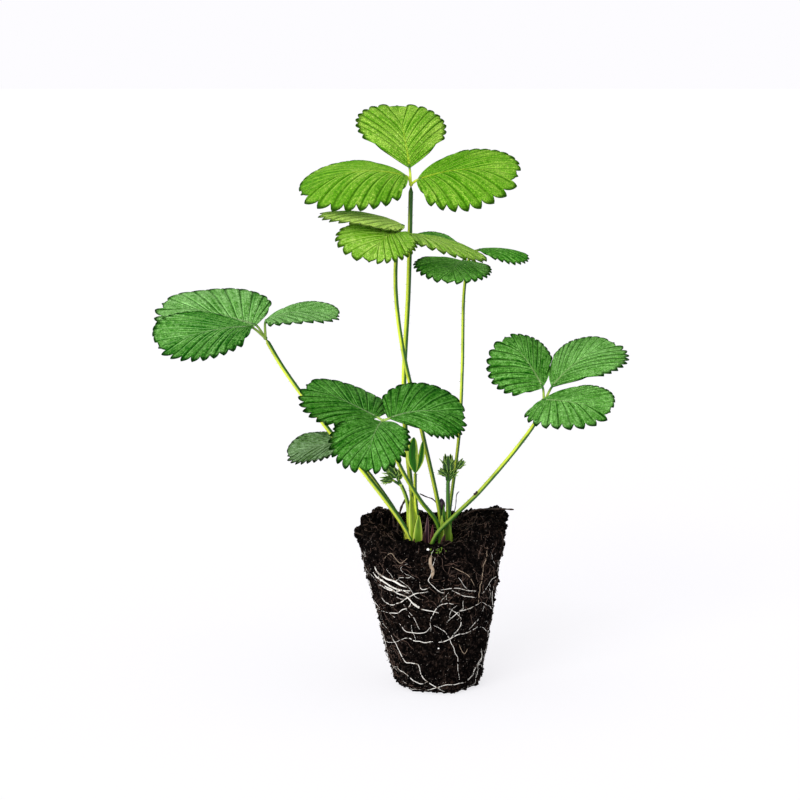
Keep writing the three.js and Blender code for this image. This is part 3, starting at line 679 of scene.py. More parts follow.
# Dry twigs in the peat: points and radius in millimetres
TWIGS = (
    (((12, 13, 75.5), (17, 11, 78.6), (23, 9, 79.6), (28, 8, 79.8)), 0.5),
    (((20, 10, 79), (26, 8.5, 79.9), (31, 7, 80), (34.6, 6, 80)), 0.38),
    (((-33, -11, 71.5), (-37.5, -12.5, 73.4)), 0.35),
    (((-18.5, -6, 72), (-17.6, -6.5, 80), (-16.4, -7, 84.5), (-14.4, -7.5, 88)), 0.5),
    (((-20, -4, 74), (-20.8, -5, 80.5), (-22, -5.5, 82.6)), 0.45),
    (((2.5, 3, 73), (0.5, 0, 82), (-2.6, -2, 86.6), (-5, -3, 87.6), (-8.4, -4, 89.4)), 0.27),
    (((6, 6, 73), (8, 4, 82), (8.6, 3, 88), (9.6, 3, 89)), 0.2),
    (((15.8, -14.4, 91.2), (16.4, -14.9, 91.6), (17.1, -14.4, 92.5)), 0.5),
)


def plug_axis(height):
    return LEAN * height / PLUG_HEIGHT


def plug_radius(height):
    return FOOT_RADIUS + (RIM_RADIUS - FOOT_RADIUS) * height / PLUG_HEIGHT


def side_point(turn, height, out):
    """The point at this height that lies this far out from the plug's axis."""
    return Vector((plug_axis(height), 0, height)) + facing(turn) * out


class PeatSurface:
    """The finished peat surface, for laying roots, fibres and moss on it."""

    tree = None

    @classmethod
    def read(cls, piece):
        cls.tree = BVHTree.FromObject(piece, bpy.context.evaluated_depsgraph_get())

    @classmethod
    def reach(cls, turn, height):
        """How far the side lies from the plug's axis, in millimetres."""
        start = side_point(turn, height, FAR_OUT) * MM
        hit = cls.tree.ray_cast(start, -facing(turn))[0]
        return FAR_OUT - (hit - start).length / MM if hit else plug_radius(height)

    @classmethod
    def top(cls, x, y):
        """The height of the top at a place."""
        hit = cls.tree.ray_cast(Vector((x, y, FAR_UP)) * MM, Vector((0, 0, -1)))[0]
        return hit.z / MM if hit else PLUG_HEIGHT - 4


# Length of one step along a root, in millimetres
ROOT_STEP = 0.9


def laid_root(route, radius, sink, seed):
    """A root's points and radii on the plug's side. It bridges small hollows in the peat, and
    sink is how deep it dips under the peat in places."""
    flat = [(plug_radius(h) * math.radians(turn), h, 0) for turn, h in route]
    length = sum(math.dist(a, b) for a, b in zip(flat, flat[1:]))
    line = spline_points([(turn, h, 0) for turn, h in route], max(4, round(length / ROOT_STEP)))
    places = [(math.radians(p.x), min(max(p.y, 0.9), PLUG_HEIGHT - 1)) for p in line]
    reaches = [PeatSurface.reach(*place) for place in places]
    points = []
    for i, (turn, height) in enumerate(places):
        # The root rests on what stands out near it
        near = reaches[max(0, i - 2) : i + 3]
        wide = reaches[max(0, i - 4) : i + 5]
        rest = 0.5 * max(near) + 0.5 * sum(wide) / len(wide)
        # It dips, sways and swells a little, and thins towards both ends
        dip = sink * max(0, noise.noise(Vector((i * 0.11, seed * 7.3, 0))) - 0.12) * 2
        turn += noise.noise(Vector((i * 0.23, seed * 3.1, 5))) * 0.02
        height = max(height + noise.noise(Vector((i * 0.19, seed * 1.7, 9))) * 0.7, radius)
        share = i / (len(places) - 1)
        taper = min(1, 0.35 + 3 * share, 0.35 + 3 * (1 - share))
        swell = 1 + 0.25 * noise.noise(Vector((i * 0.31, seed * 2.3, 3)))
        points.append((side_point(turn, height, rest + radius * 0.5 - dip), radius * taper * swell))
    return points


def wandering(rng, length, climb):
    """A random route for a thin root or fibre on the plug's side. climb is its share of up and
    down."""
    turn = rng.uniform(0, 360)
    height = rng.uniform(3, 68)
    if 228 < turn < 345 and height < 42:
        # The peat is almost bare low in front
        turn -= 180
    heading = rng.uniform(0, 2 * math.pi)
    route = [(turn, height)]
    parts = 5
    step = length / parts
    for _ in range(parts):
        heading += rng.gauss(0, 0.55)
        turn += math.degrees(step * math.cos(heading) / plug_radius(height))
        height = min(max(height + climb * step * math.sin(heading), 2), 71)
        route.append((turn, height))
    return route


class STRAWBERRY_OT_peat(bpy.types.Operator):
    """Makes the root ball's peat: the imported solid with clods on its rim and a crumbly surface"""

    bl_idname = "strawberry.peat"
    bl_label = "Peat root ball"

    def execute(self, context):
        settings = context.scene.peat
        rng = random.Random(4)
        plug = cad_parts["soil_plug"].copy()
        plug.data = plug.data.copy()
        plug.parent = None
        for key in list(plug.keys()):
            del plug[key]
        context.scene.collection.objects.link(plug)
        plug.data.materials.clear()
        tidy_mesh(plug, outward=False)

        places = [ball_place(spot, [size] * 3) for spot, size in LUMPS]
        for i in range(settings.clods):
            turn = rng.uniform(0, 2 * math.pi)
            if i % 3:
                size = rng.uniform(1.2, 3.2)
                out = RIM_RADIUS - rng.uniform(0.6, 1) * size - abs(rng.gauss(0, 5))
                # The rim stands up on the right and, a little less, on the left
                mound = 4 * math.exp(-4 * (1 - math.cos(turn - math.radians(20))))
                mound += 3 * math.exp(-4 * (1 - math.cos(turn - math.radians(150))))
                height = PLUG_HEIGHT - 1.6 + mound + rng.uniform(-0.5, 0.3) * size
                if out < 20:
                    # The crown sits in a hollow
                    height -= 1.5
                if out < 32 and abs(math.degrees(turn) - 265) < 32:
                    # The peat is worn down in front of the crown
                    height -= 2.2
            else:
                size = rng.uniform(0.8, 1.9)
                height = rng.uniform(4, 70)
                out = plug_radius(height) - 0.55 * size
            stretch = Vector([rng.uniform(0.75, 1.25) for _ in range(3)]) * size
            spin = Matrix.Rotation(rng.uniform(0, 6.3), 4, "XYZ"[i % 3])
            places.append(ball_place(side_point(turn, height, out), stretch, spin))
        plug = joined(plug, balls(2, places))
        finish_with(plug, "REMESH", mode="VOXEL", voxel_size=settings.grain)
        finish_with(plug, "SMOOTH", iterations=2, factor=0.5)
        for size, height, kind in PEAT_LUMPS:
            # Lumps stand out a little more than the hollows go in
            roughen(plug, size, height, kind, 0.42)
        for vertex in plug.data.vertices:
            vertex.co.z = max(vertex.co.z, 0)
        dress(plug, 60, peat_material(settings))
        settle(plug, "peat_root_ball", "soil", "soil_plug")
        PeatSurface.read(plug)
        return {"FINISHED"}


class STRAWBERRY_OT_roots(bpy.types.Operator):
    """Lays the pale roots on the peat: the stout ones and their thin side roots"""

    bl_idname = "strawberry.roots"
    bl_label = "Roots"

    def execute(self, context):
        settings = context.scene.roots
        rng = random.Random(11)
        stout = []
        for i, (radius, route) in enumerate(FRONT_ROOTS + BACK_ROOTS):
            stout.append(laid_root(route, radius, 0.55, i + 1))
        fine = []
        for i in range(settings.fine_roots):
            route = wandering(rng, rng.uniform(8, 24), 0.8)
            radius = settings.fine_radius / MM * rng.uniform(0.7, 1.5)
            fine.append(laid_root(route, radius, 0.6, i + 100))
        stained = []
        for i, (radius, route) in enumerate(OLD_ROOTS):
            stained.append(laid_root(route, radius, 0.1, i + 60))
        ivory = root_material("ivory_root", settings.fresh, settings.old)
        brown = root_material("stained_root", linear("a3907a"), settings.old)
        young = dress(joined(strands(stout, 2), strands(fine, 0)), 80, ivory)
        old = dress(strands(stained), 80, brown)
        settle(joined(young, old), "roots", "root", "root_net")
        return {"FINISHED"}


class STRAWBERRY_OT_litter(bpy.types.Operator):
    """Lays brown fibres, twigs, perlite and moss on the peat"""

    bl_idname = "strawberry.litter"
    bl_label = "Fibres, twigs, perlite and moss"

    def execute(self, context):
        settings = context.scene.peat
        rng = random.Random(23)
        fibres = []
        for i in range(settings.fibres):
            if i % 4:
                route = wandering(rng, rng.uniform(4, 13), 1)
                fibre = laid_root(route, rng.uniform(0.07, 0.15), 0.3, i + 400)
                if i % 5 == 1:
                    # Every so often the end of a fibre stands off the peat
                    lift = Vector((*fibre[-1][0].xy, 0)).normalized()
                    for k, share in ((-3, 0.3), (-2, 0.8), (-1, 1.5)):
                        point, radius = fibre[k]
                        fibre[k] = (point + lift * share, radius)
            else:
                out, turn = rng.uniform(8, 31), rng.uniform(0, 2 * math.pi)
                spot = TOP_MIDDLE + facing(turn) * out
                heading = rng.uniform(0, 2 * math.pi)
                fibre = []
                for _ in range(6):
                    heading += rng.gauss(0, 0.5)
                    spot += facing(heading) * rng.uniform(0.6, 1.6)
                    up = PeatSurface.top(spot.x, spot.y) + 0.15
                    fibre.append((Vector((spot.x, spot.y, up)), rng.uniform(0.07, 0.14)))
            fibres.append(fibre)
        brown = root_material("peat_fibre", settings.fibre, settings.dark)
        settle(dress(strands(fibres, 0), 80, brown), "peat_fibres", "soil")

        twigs = []
        for points, radius in TWIGS:
            # A twig is thicker in some places
            line = spline_points(points, 14)
            twigs.append([(p, radius * (1 + 0.25 * math.sin(k * 2.1))) for k, p in enumerate(line)])
        dry = root_material("dry_twig", linear("34251c"), settings.dark)
        settle(dress(strands(twigs), 80, dry), "twigs", "soil")

        # Perlite is pale and light, with pits
        grains = balls(3, [ball_place(spot, GRAIN_SHAPE * size) for spot, size in PERLITE])
        roughen(grains, 0.5, 0.5)
        white = root_material("perlite", linear("f4f2ee"), settings.speck)
        settle(dress(grains, 60, white), "perlite", "soil")

        # Each bit of moss is a short leaf that is widest in its middle
        tufts = []
        for _ in range(26):
            turn, height = math.radians(rng.gauss(274, 2.6)), rng.gauss(69.6, 0.8)
            foot = side_point(turn, height, PeatSurface.reach(turn, height) - 0.2)
            lean = facing(turn) + Vector((rng.gauss(0, 0.6), 0, rng.gauss(0.5, 0.5)))
            tip = foot + lean.normalized() * rng.uniform(0.8, 1.7)
            tufts.append([(foot, 0.16), (foot.lerp(tip, 0.55), 0.24), (tip, 0.03)])
        green = root_material("green_moss", settings.moss, linear("39501a"))
        settle(dress(strands(tufts, 0), 80, green), "moss", "soil")
        return {"FINISHED"}


# Leaves

# One half of a leaflet's outline, as shares of the leaflet's length: how wide it is, how far
# forward its belly lies and how full it is, and how much of the edge near the base has no teeth
Half = namedtuple("Half", "width shoulder belly plain")
WEDGE = Half(0.47, 0.34, 1.08, 0.33)
FULL = Half(0.48, -0.1, 1.5, 0.18)
LEAN_SIDE = Half(0.42, 0.28, 1.05, 0.36)
ROUND = Half(0.49, 0.12, 1.22, 0.24)
CORNERED = Half(0.47, -0.3, 1.65, 0.17)
LOBED = Half(0.46, -0.6, 1.35, 0.15)
# The left and the right half of a leaflet
MIDDLE = (WEDGE, WEDGE)
ROUND_LEFT = (ROUND, WEDGE)
ROUNDED = (ROUND, ROUND)
BROAD = (FULL, WEDGE)
FULL_LEFT = (FULL, LEAN_SIDE)
FULL_RIGHT = (LEAN_SIDE, FULL)
CORNERED_RIGHT = (ROUND, CORNERED)
LOBED_RIGHT = (LEAN_SIDE, LOBED)

Leaflet = namedtuple(
    "Leaflet",
    "base heading length rise droop roll fold curl halves twist teeth bite bloom",
    defaults=(0, 9, (1, 1), 0),
)
# deep, pale, foot and hubs are colours: the blade's dark and light greens, between which its
# colour runs by random mottle and, a little, by painted shade by the veins and painted light on
# the crests; the stalk's foot; and the small stalks at the hub. radius is the stalk's at its foot.
Leaf = namedtuple("Leaf", "name slot deep pale foot hubs radius hub stalk leaflets")

# As in the imported model, in millimetres and degrees. A leaflet's base is given from the hub.
# The greens of the upper left and upper right leaves are painted lighter than their own, as painted light,
# because they lie in the shade of the leaves above them. A leaflet's thirteenth value, where given, is how
# much painted sheen and painted light it has.
LEAVES = (
    Leaf(
        "top", "young_leaf", "4c9405", "a4d24c", "c1d63c", "c8dc3c", 1.15, (-12.4, 5, 228),
        ((-10, -8, 64), (-11, -7.5, 80), (-15, -3, 120), (-15.5, -1, 141), (-13.5, 2, 182)),
        (
            Leaflet((-0.6, 2.2, 7.1), 100, 42, 49, 19, 1, 7, 21, MIDDLE, 0, 8, (0.7, 0.7), 0.3),
            Leaflet((-1.7, -2.2, 3.6), 186, 49, 18, 54, -20, -3, 12, FULL_LEFT, 0, 8, (1.1, 0.3)),
            Leaflet((2.7, -1, 2), 355, 45, 22, 39, 31, 1, 14, FULL_RIGHT, 0, 8, (0.6, 1.1)),
        ),
    ),
    Leaf(
        "upper_left", "young_leaf", "62a00c", "b6e062", "bdd23a", "b4cf4c", 1, (-18.6, -12, 208),
        ((2, -6.5, 64), (0.8, -8.2, 80), (-7, -11, 117), (-16, -14, 156), (-19.2, -14, 183)),
        (
            Leaflet((1.4, -2.7, 0.3), 247, 36, 6, 44, -9, 11, 19, FULL_RIGHT),
            Leaflet((3.9, -0.7, -0.7), 348, 36, -5, 25, 0, 4, 13, FULL_RIGHT, 0, 9, (1, 1), 0.3),
            Leaflet((3.1, 2.1, 2.6), 177, 37.5, 27, 37, -2, -6, 3, FULL_LEFT, 0, 9, (1, 0.3), 1),
        ),
    ),
    Leaf(
        "upper_right", "leaf", "348a18", "90d866", "a3bf35", "8fae3c", 0.8, (14.6, 22, 196),
        ((3.5, -2.5, 64), (5, -2.5, 80), (9.5, 5, 115), (11, 12, 144), (12, 19.5, 180)),
        (
            Leaflet((-3.6, -5.8, -3.3), 257, 34, 4, 30, -7, 12, 12, MIDDLE, 0, 9, (1, 1), 0.2),
            Leaflet((3.9, 1.8, 1), 33, 25, 7, 25, 5, -7, 20, FULL_RIGHT),
            Leaflet((-2.9, 4.1, 0.5), 163, 26.5, 35, 44, 0, 3, -4, FULL_LEFT),
        ),
    ),
    Leaf(
        "left", "leaf", "146a04", "94d078", "c0cf3c", "7f9c3c", 1.1, (-77.9, 5, 159),
        ((-11, -16, 64), (-13.5, -15, 73), (-32.5, -9, 99), (-50, -4, 119.5), (-69.5, 3, 145)),
        (
            Leaflet((-6.4, -2.8, 5.5), 201, 43, 2, 24, -21, 4, 3, ROUND_LEFT, 0, 9, (1, 0.3), -0.15),
            Leaflet(
                (-4.5, 3.1, 5.6), 167, 44.5, 15, 8, -27, 0, 12, CORNERED_RIGHT, 16, 9, (1, 0.45), 0.3,
            ),
            Leaflet((0.5, -1.6, 8.5), 358, 33, 23, 40, 10, 4, 4, FULL_RIGHT, 0, 8, (0.3, 1), 0.5),
        ),
    ),
    Leaf(
        "right", "leaf", "105c04", "82c262", "7c9f30", "a8c444", 1, (47.2, -5, 131),
        ((-4.5, -16, 64), (-1.5, -16, 72.5), (7.5, -15, 82), (19, -13, 93), (43, -7, 122)),
        (
            Leaflet((-0.4, 3.7, 6.5), 131, 32, 53, 27, -21, -8, 19, BROAD),
            Leaflet((3.5, 3.1, 6.6), 30, 38.5, 45, 34, 12, 2, 13, MIDDLE, 0, 9, (0.5, 0.9), 0.3),
            Leaflet((-1, -4.1, 2.1), 335, 32, 3, 18, 32, 0, 3, LOBED_RIGHT, 0, 9, (0.4, 1.2), 0.2),
        ),
    ),
    Leaf(
        "front", "leaf", "0e5a02", "72b454", "5c9426", "9ab858", 1, (-24.7, -35, 128),
        ((1, -12, 64), (-0.3, -13, 77), (-8.5, -20, 90), (-17.5, -28, 107)),
        (
            Leaflet(
                (-2.5, 1.9, 1.2), 164, 34.5, 25, 6, -18, -1, 14, CORNERED_RIGHT, 0, 9, (1, 0.35),
            ),
            Leaflet((2.6, -0.9, 1.1), 16, 35, 19, 42, 35, 4, 15, FULL_LEFT, 0, 9, (0.6, 1)),
            Leaflet((-0.4, -2.2, -0.3), 257, 35, 1, 60, -6, 23, 15, MIDDLE),
        ),
    ),
    Leaf(
        "small", "leaf", "0c3404", "92b684", "4a4a1c", "8fa84a", 0.8, (-43, 0, 108.5),
        ((-14.5, -6, 64), (-16, -5.5, 75), (-27.5, -3, 93.5), (-34, -2, 101.5)),
        (
            Leaflet((1, 1.2, 3.3), 184, 26.5, -1, 23, -17, 4, 4, ROUNDED, 0, 9, (1.1, 0.3), 0.25),
            Leaflet((1, 3, 1), 80, 22, 10, 20, 0, 4, 14, FULL_RIGHT),
            Leaflet((3, -1.5, 1), 330, 19, 25, 20, 0, 4, 14, MIDDLE),
        ),
    ),
)
# A stalk's radius at even steps from its foot to the hub, as a share of the radius at its foot
STALK_TAPER = (1, 0.98, 0.95, 0.9)
# The teeth end here on the outline. The rows of points before the teeth, and after them
TEETH_END = 0.955
PLAIN_ROWS = 9
END_ROWS = 4
# Columns of points from the midrib to the edge
HALF_COLUMNS = 10
# How full the outline is near the apex
APEX_FULLNESS = 1.56
# The part of a leaflet's length over which each half bends from fold by curl
HALF_WIDTH = 0.47
# How far a notch lies inside the smooth outline, as a share of the tooth's height
NOTCH = 0.4
# The veins leave the midrib up to this share of its length, most of them near its base
FOOT_END = 0.76
FOOT_CROWDING = 2.3
# A rounded tooth that leans forwards: place along its pitch, height, and vein count, which is a
# half at the tip
TOOTH = (
    (0, 0, 0),
    (0.1, 0.4, 0.1),
    (0.26, 0.69, 0.22),
    (0.45, 0.88, 0.33),
    (0.63, 0.98, 0.42),
    (0.79, 1, 0.5),
    (0.88, 0.72, 0.66),
    (0.95, 0.36, 0.84),
)


def smooth_outline(t, half):
    """The outline of one half without teeth, from the base (t = 0) to the apex (t = 1)."""
    u = 1 - t
    first, second = 3 * u * u * t, 3 * u * t * t
    out = (first * half.belly + second * APEX_FULLNESS) * half.width
    return first * half.shoulder + second + t**3, out


def outline_rows(half, teeth, depth):
    """Rows of one half. Each has its place on the edge (x, y), its foot on the midrib, and its
    vein count, which is a whole number at a notch and a half at a tooth's tip."""
    pitch = (TEETH_END - half.plain) / teeth
    marks = []
    for i in range(PLAIN_ROWS):
        share = i / PLAIN_ROWS
        marks.append((share * half.plain, -NOTCH * share**4, 1.5 * (share - 1)))
    for k in range(teeth):
        for place, height, count in TOOTH:
            marks.append((half.plain + (k + place) * pitch, height - NOTCH, k + count))
    for i in range(END_ROWS + 1):
        share = i / END_ROWS
        place = TEETH_END + share * (1 - TEETH_END)
        marks.append((place, -NOTCH * (1 - share) ** 2, teeth + share / 2))
    rows = []
    for t, out, count in marks:
        x, y = smooth_outline(t, half)
        x1, y1 = smooth_outline(max(t - 0.01, 0), half)
        x2, y2 = smooth_outline(min(t + 0.01, 1), half)
        reach = out * depth / math.hypot(x2 - x1, y2 - y1)
        share = (count + 1.5) / (teeth + 2)
        foot = FOOT_END * share**FOOT_CROWDING
        rows.append([x - reach * (y2 - y1), y + reach * (x2 - x1), foot, count])
    # Both halves end in the same pointed tip
    rows[-1][:2] = 1.02, 0
    return rows


def blade_point(leaf, base, x, y, lift):
    """A point of the blade's middle surface, moved by lift along the surface's normal. The
    midrib bends down evenly by droop, and each half bends down from fold by curl."""
    start = math.radians(leaf.rise)
    bend = math.radians(leaf.droop) / leaf.length
    slope = start - bend * x
    run = (math.sin(start) - math.sin(slope)) / bend
    climb = (math.cos(slope) - math.cos(start)) / bend
    ahead = facing(math.radians(leaf.heading))
    level = Vector((-ahead.y, ahead.x, 0))
    up = -math.sin(slope) * ahead + Vector((0, 0, math.cos(slope)))
    roll = math.radians(leaf.roll + leaf.twist * (x / leaf.length - 0.5))
    side = level * math.cos(roll) + up * math.sin(roll)
    normal = up * math.cos(roll) - level * math.sin(roll)
    hand = (y > 0) - (y < 0)
    fold, turn = math.radians(leaf.fold), math.radians(leaf.curl) / (HALF_WIDTH * leaf.length)
    angle = fold - turn * abs(y)
    out = (math.sin(fold) - math.sin(angle)) / turn
    rise = (math.cos(angle) - math.cos(fold)) / turn
    across = side * hand * (out - lift * math.sin(angle))
    above = normal * (rise + (lift * math.cos(angle) if hand else lift))
    return base + ahead * run + Vector((0, 0, climb)) + across + above


def leaflet_blade(leaf, base, settings):
    """A toothed, pleated blade: a grid whose rows run along the veins."""
    depths = [settings.tooth * bite for bite in leaf.bite]
    sides = [outline_rows(half, leaf.teeth, depth) for half, depth in zip(leaf.halves, depths)]
    count = len(sides[0]) - 1
    last = sides[0][-1][3]

    def spot(u, v):
        across = round((0.5 - u) * 2 * HALF_COLUMNS)
        row = sides[0 if across >= 0 else 1][round(v * count)]
        return across, abs(across) / HALF_COLUMNS, row

    def place(u, v):
        across, share, (edge_x, edge_y, foot, number) = spot(u, v)
        x = foot + (edge_x - foot) * share**0.88
        y = math.copysign(edge_y * share, across)
        # The blade is raised between two veins, and flat at the midrib, the base and the apex
        between = abs(2 * (number % 1) - 1)
        crest = 2 * math.sin(math.pi / 2 * between) ** 0.55 - 1
        crest *= 1 + 0.7 * noise.noise(Vector((number * 0.7, across * 0.05, leaf.heading)))
        fade = min(1, 1.6 * share) * min(1, max(0, (number + 1.5) / 1.5)) * min(1, last - number)
        ripple = 0.5 * noise.noise(Vector((x * 3.5, y * 3.5, leaf.heading))) * share
        lift = settings.pleat / MM * crest * fade + ripple
        return blade_point(leaf, base, x * leaf.length, y * leaf.length, lift)

    def chart(u, v):
        _, share, row = spot(u, v)
        return row[3], share

    blade = tidy_mesh(sheet(2 * HALF_COLUMNS, count, place, chart), 0.02, outward=False)
    finish_with(blade, "SOLIDIFY", thickness=settings.thickness, offset=0, material_offset=1)
    bloom = blade.data.attributes.new("bloom", "FLOAT", "POINT")
    # The painted sheen and painted light are uneven, in patches about as wide as half a leaflet
    for point, vertex in zip(bloom.data, blade.data.vertices):
        patch = noise.noise(vertex.co / (16 * MM) + Vector((leaf.heading, 0, 0)))
        point.value = leaf.bloom + 0.35 * patch
    return blade


def leaf_piece(leaf, settings, upper, under, green):
    """The three blades of a leaf with their small stalks and ribs, joined at the hub."""
    hub = Vector(leaf.hub)
    blades = []
    ribs = []
    for part in leaf.leaflets:
        base = hub + Vector(part.base)
        blades.append(dress(leaflet_blade(part, base, settings), 45, upper, under))
        # The small stalk runs on under the blade as its midrib and thins towards the apex
        stem = spline_points([hub, base, blade_point(part, base, part.length * 0.08, 0, -0.45)], 8)
        rib = [(p, 0.62 - 0.12 * k / 8) for k, p in enumerate(stem)]
        for k in range(1, 12):
            share = k / 11
            radius = 0.52 * (1 - share) + 0.1
            x = part.length * (0.08 + 0.82 * share)
            rib.append((blade_point(part, base, x, 0, -0.75 * radius - 0.12), radius))
        ribs.append(rib)
    knot = balls(3, [ball_place(hub, [0.95] * 3)])
    return joined(*blades, dress(strands(ribs, 2), 80, green), dress(knot, 80, green))


def hairs_on(line, radii, number, length, seed):
    """Short hairs that stand off a stalk."""
    rng = random.Random(seed)
    frames = frames_along(line)
    routes = []
    for _ in range(number):
        share = rng.random()
        point, normal, deep = frames[round(share * (len(line) - 1))]
        turn = rng.uniform(0, 2 * math.pi)
        out = normal * math.cos(turn) + deep * math.sin(turn)
        # The hairs point up a little
        way = (out + Vector((rng.gauss(0, 0.25), rng.gauss(0, 0.25), 0.25))).normalized()
        foot = point + out * even(radii, share) * 0.9
        reach = length / MM * rng.uniform(0.6, 1.3)
        routes.append([(foot, 0.045), (foot + way * reach, 0.012)])
    return strands(routes, 0)


class STRAWBERRY_OT_stalks(bpy.types.Operator):
    """Makes the seven leaf stalks with their fine hairs"""

    bl_idname = "strawberry.stalks"
    bl_label = "Leaf stalks"

    def execute(self, context):
        settings = context.scene.leaves
        for i, leaf in enumerate(LEAVES):
            line = spline_points([*leaf.stalk, leaf.hub], 48)
            radii = [share * leaf.radius for share in STALK_TAPER]

            def radius_at(u, v, radii=radii):
                # A shallow channel runs along one side
                return even(radii, v) * (1 - 0.12 * math.exp(-(((u - 0.25) / 0.09) ** 2)))

            stalk = wrapped(line, 14, radius_at)
            down = hairs_on(line, radii, settings.hairs, settings.hair_length, 50 + i)
            tones = (linear(leaf.foot), settings.stalk, settings.stalk_painted_shade_and_patches)
            green = stem_material(f"stalk_green_{leaf.name}", *tones, top_green=0.85)
            stalk = dress(joined(stalk, down), 80, green)
            settle(stalk, f"leaf_{leaf.name}_stem", "stalk", f"leaf_{leaf.name}_stalk")
        return {"FINISHED"}


class STRAWBERRY_OT_blades(bpy.types.Operator):
    """Makes the toothed blades of the seven three-part leaves"""

    bl_idname = "strawberry.blades"
    bl_label = "Leaf blades"

    def execute(self, context):
        settings = context.scene.leaves
        under = underside_material(settings)
        for leaf in LEAVES:
            tint = linear(leaf.hubs)
            green = stem_material(f"leaflet_stalk_{leaf.name}", tint, tint, settings.stalk_painted_shade_and_patches)
            if leaf.slot == "leaf":
                # The midribs of the grown leaves are paler than their stalks, partly their own colour and
                # partly a painted highlight: half their colour is the painted sheen's pale grey-green
                tint = [0.5 * (a + b) for a, b in zip(tint, settings.bloom)]
            tones = (linear(leaf.deep), linear(leaf.pale), tint)
            upper = blade_material(f"leaf_green_{leaf.name}", *tones, settings)
            piece = leaf_piece(leaf, settings, upper, under, green)
            settle(piece, f"leaf_{leaf.name}_surface", leaf.slot, f"leaf_{leaf.name}_blades")
        return {"FINISHED"}


# Crown, young leaf and buds

# The young leaf: its stalk, the stalk's radii at even steps, and for each folded leaflet a path
# and half its width, in millimetres
YOUNG_STALK = ((-8, -12.5, 64), (-9.5, -14, 80), (-10.5, -15, 92), (-10.5, -15.5, 102))
YOUNG_RADII = (1, 0.85, 0.75)
FOLDED_LEAFLETS = (
    (((-10.5, -15.5, 101), (-11.7, -16, 109), (-11.1, -15.5, 117.4)), 2.25),
    (((-10.3, -15.5, 101), (-7.9, -15.8, 108), (-7, -15.4, 115.8)), 1.25),
    (((-10.4, -15, 101), (-10.6, -13, 107), (-10.4, -12.6, 113)), 1.4),
)
# Folds round a leaflet, and its widths at even steps along it
FOLDS = 7
FOLDED_SHAPE = (0.15, 0.5, 0.78, 0.95, 1.03, 1.05, 1.02, 0.94, 0.8, 0.56, 0.12)
# A bud truss's stalk: radii at even steps
TRUSS_RADII = (1.15, 0.95, 0.85)
# Each truss: its stalk, then where each bud is, its radius and where it points, and the stalk's
# colour
TRUSSES = (
    (
        "bud_truss_left",
        ((-13.5, -10.5, 64), (-13.3, -11, 76), (-14.2, -11.5, 88), (-17, -11.5, 95.5)),
        (
            ((-20.3, -11.5, 100.4), 2.2, (-0.6, -0.2, 0.7)),
            ((-22.3, -12, 97.4), 1.5, (-1, -0.3, 0)),
            ((-17.8, -12.5, 99.3), 1.5, (0.3, -0.5, 0.8)),
        ),
        "a4c43a",
    ),
    (
        "bud_truss_right",
        ((5, -8.5, 64), (4.3, -9, 83), (4.2, -10, 97)),
        (
            ((4.4, -10.2, 103), 2.3, (-0.05, 0, 1)),
            ((2.4, -11.4, 100.2), 1.3, (-0.75, -0.3, 0.6)),
            ((9.2, -10.2, 103.4), 1.35, (0.6, -0.1, 0.8)),
            ((6.2, -11.4, 99.6), 1.3, (0.5, -0.5, 0.7)),
        ),
        "4c8426",
    ),
)
# The crown's two cores: centre and radii
CORES = (((-10.5, -10, 62), (7.5, 7.9, 5.6)), ((0.5, -9.5, 62), (7.6, 8, 6)))
# Thickness of a sheath and of a sepal
SHEATH_WALL = 0.3
SEPAL_WALL = 0.22
# The sheath of each stalk: how far it stands off the stalk at its foot, and how high it reaches
SHEATHS = {
    "top": (0.5, 20),
    "upper_left": (0.6, 13),
    "upper_right": (0.5, 12),
    "left": (0.35, 8),
    "right": (0.4, 9),
    "front": (0.35, 8),
    "small": (0.1, 7),
    "young": (0.8, 18),
    "bud_truss_left": (0.2, 20),
    "bud_truss_right": (0.5, 13),
}
# Brown scales, green sheaths and stipules between the stalks: a path, then half the width and
# the colours of the middle and the rim
SCALES = (
    (((-10.4, -14.5, 64), (-10.8, -15.6, 76), (-11.9, -13.8, 86), (-12.4, -12.6, 91)), 2.7, "7f9c1a",
     "ccd85c"),
    (((-9.7, -16.6, 64), (-9.3, -17.4, 74), (-8.9, -16.9, 82.5)), 2.2, "6a9420", "c0d058"),
    (((3.1, -10.5, 64), (3.8, -11.8, 73), (4.2, -11.8, 80)), 2.3, "567a1c", "90b048"),
    (((1, -11.8, 64), (1.4, -12.8, 72), (1.5, -12.5, 81.5)), 1.2, "8fb62c", "cfe070"),
    (((2.1, -9.5, 66), (2.5, -10.8, 78), (2.3, -10.6, 86)), 1.1, "2f6a16", "7fae3c"),
    (((4.3, -9.6, 66), (4.9, -10.8, 77), (4.8, -10.8, 84)), 1.2, "235a14", "5f9a30"),
    (((-5.3, -15.5, 64), (-5.3, -16.2, 73), (-4.9, -15.2, 82)), 1.1, "331826", "8a6a66"),
    (((-3.2, -15.5, 64), (-3, -16.2, 72), (-2.6, -15.6, 78)), 0.9, "4a161c", "7a4a44"),
    (((-6.9, -17, 64), (-6.7, -17.8, 71), (-6.3, -17.6, 75.5)), 0.9, "2c1618", "6a4a3c"),
    (((-11.6, -17.5, 62), (-11.4, -18.4, 69), (-10.9, -18, 72)), 1.1, "4c2c20", "8a6a4c"),
    (((-8, -18.5, 62), (-7.6, -19, 68.5), (-7.1, -18.8, 71.4)), 1, "38202a", "7a5a4c"),
    (((1.3, -17.3, 64), (2, -18, 70.8), (2.8, -17.6, 74)), 1.3, "2e1614", "5a3a30"),
)
# Widths at even steps along a scale
SCALE_SHAPE = (0.75, 1, 1, 0.93, 0.78, 0.5, 0.1)
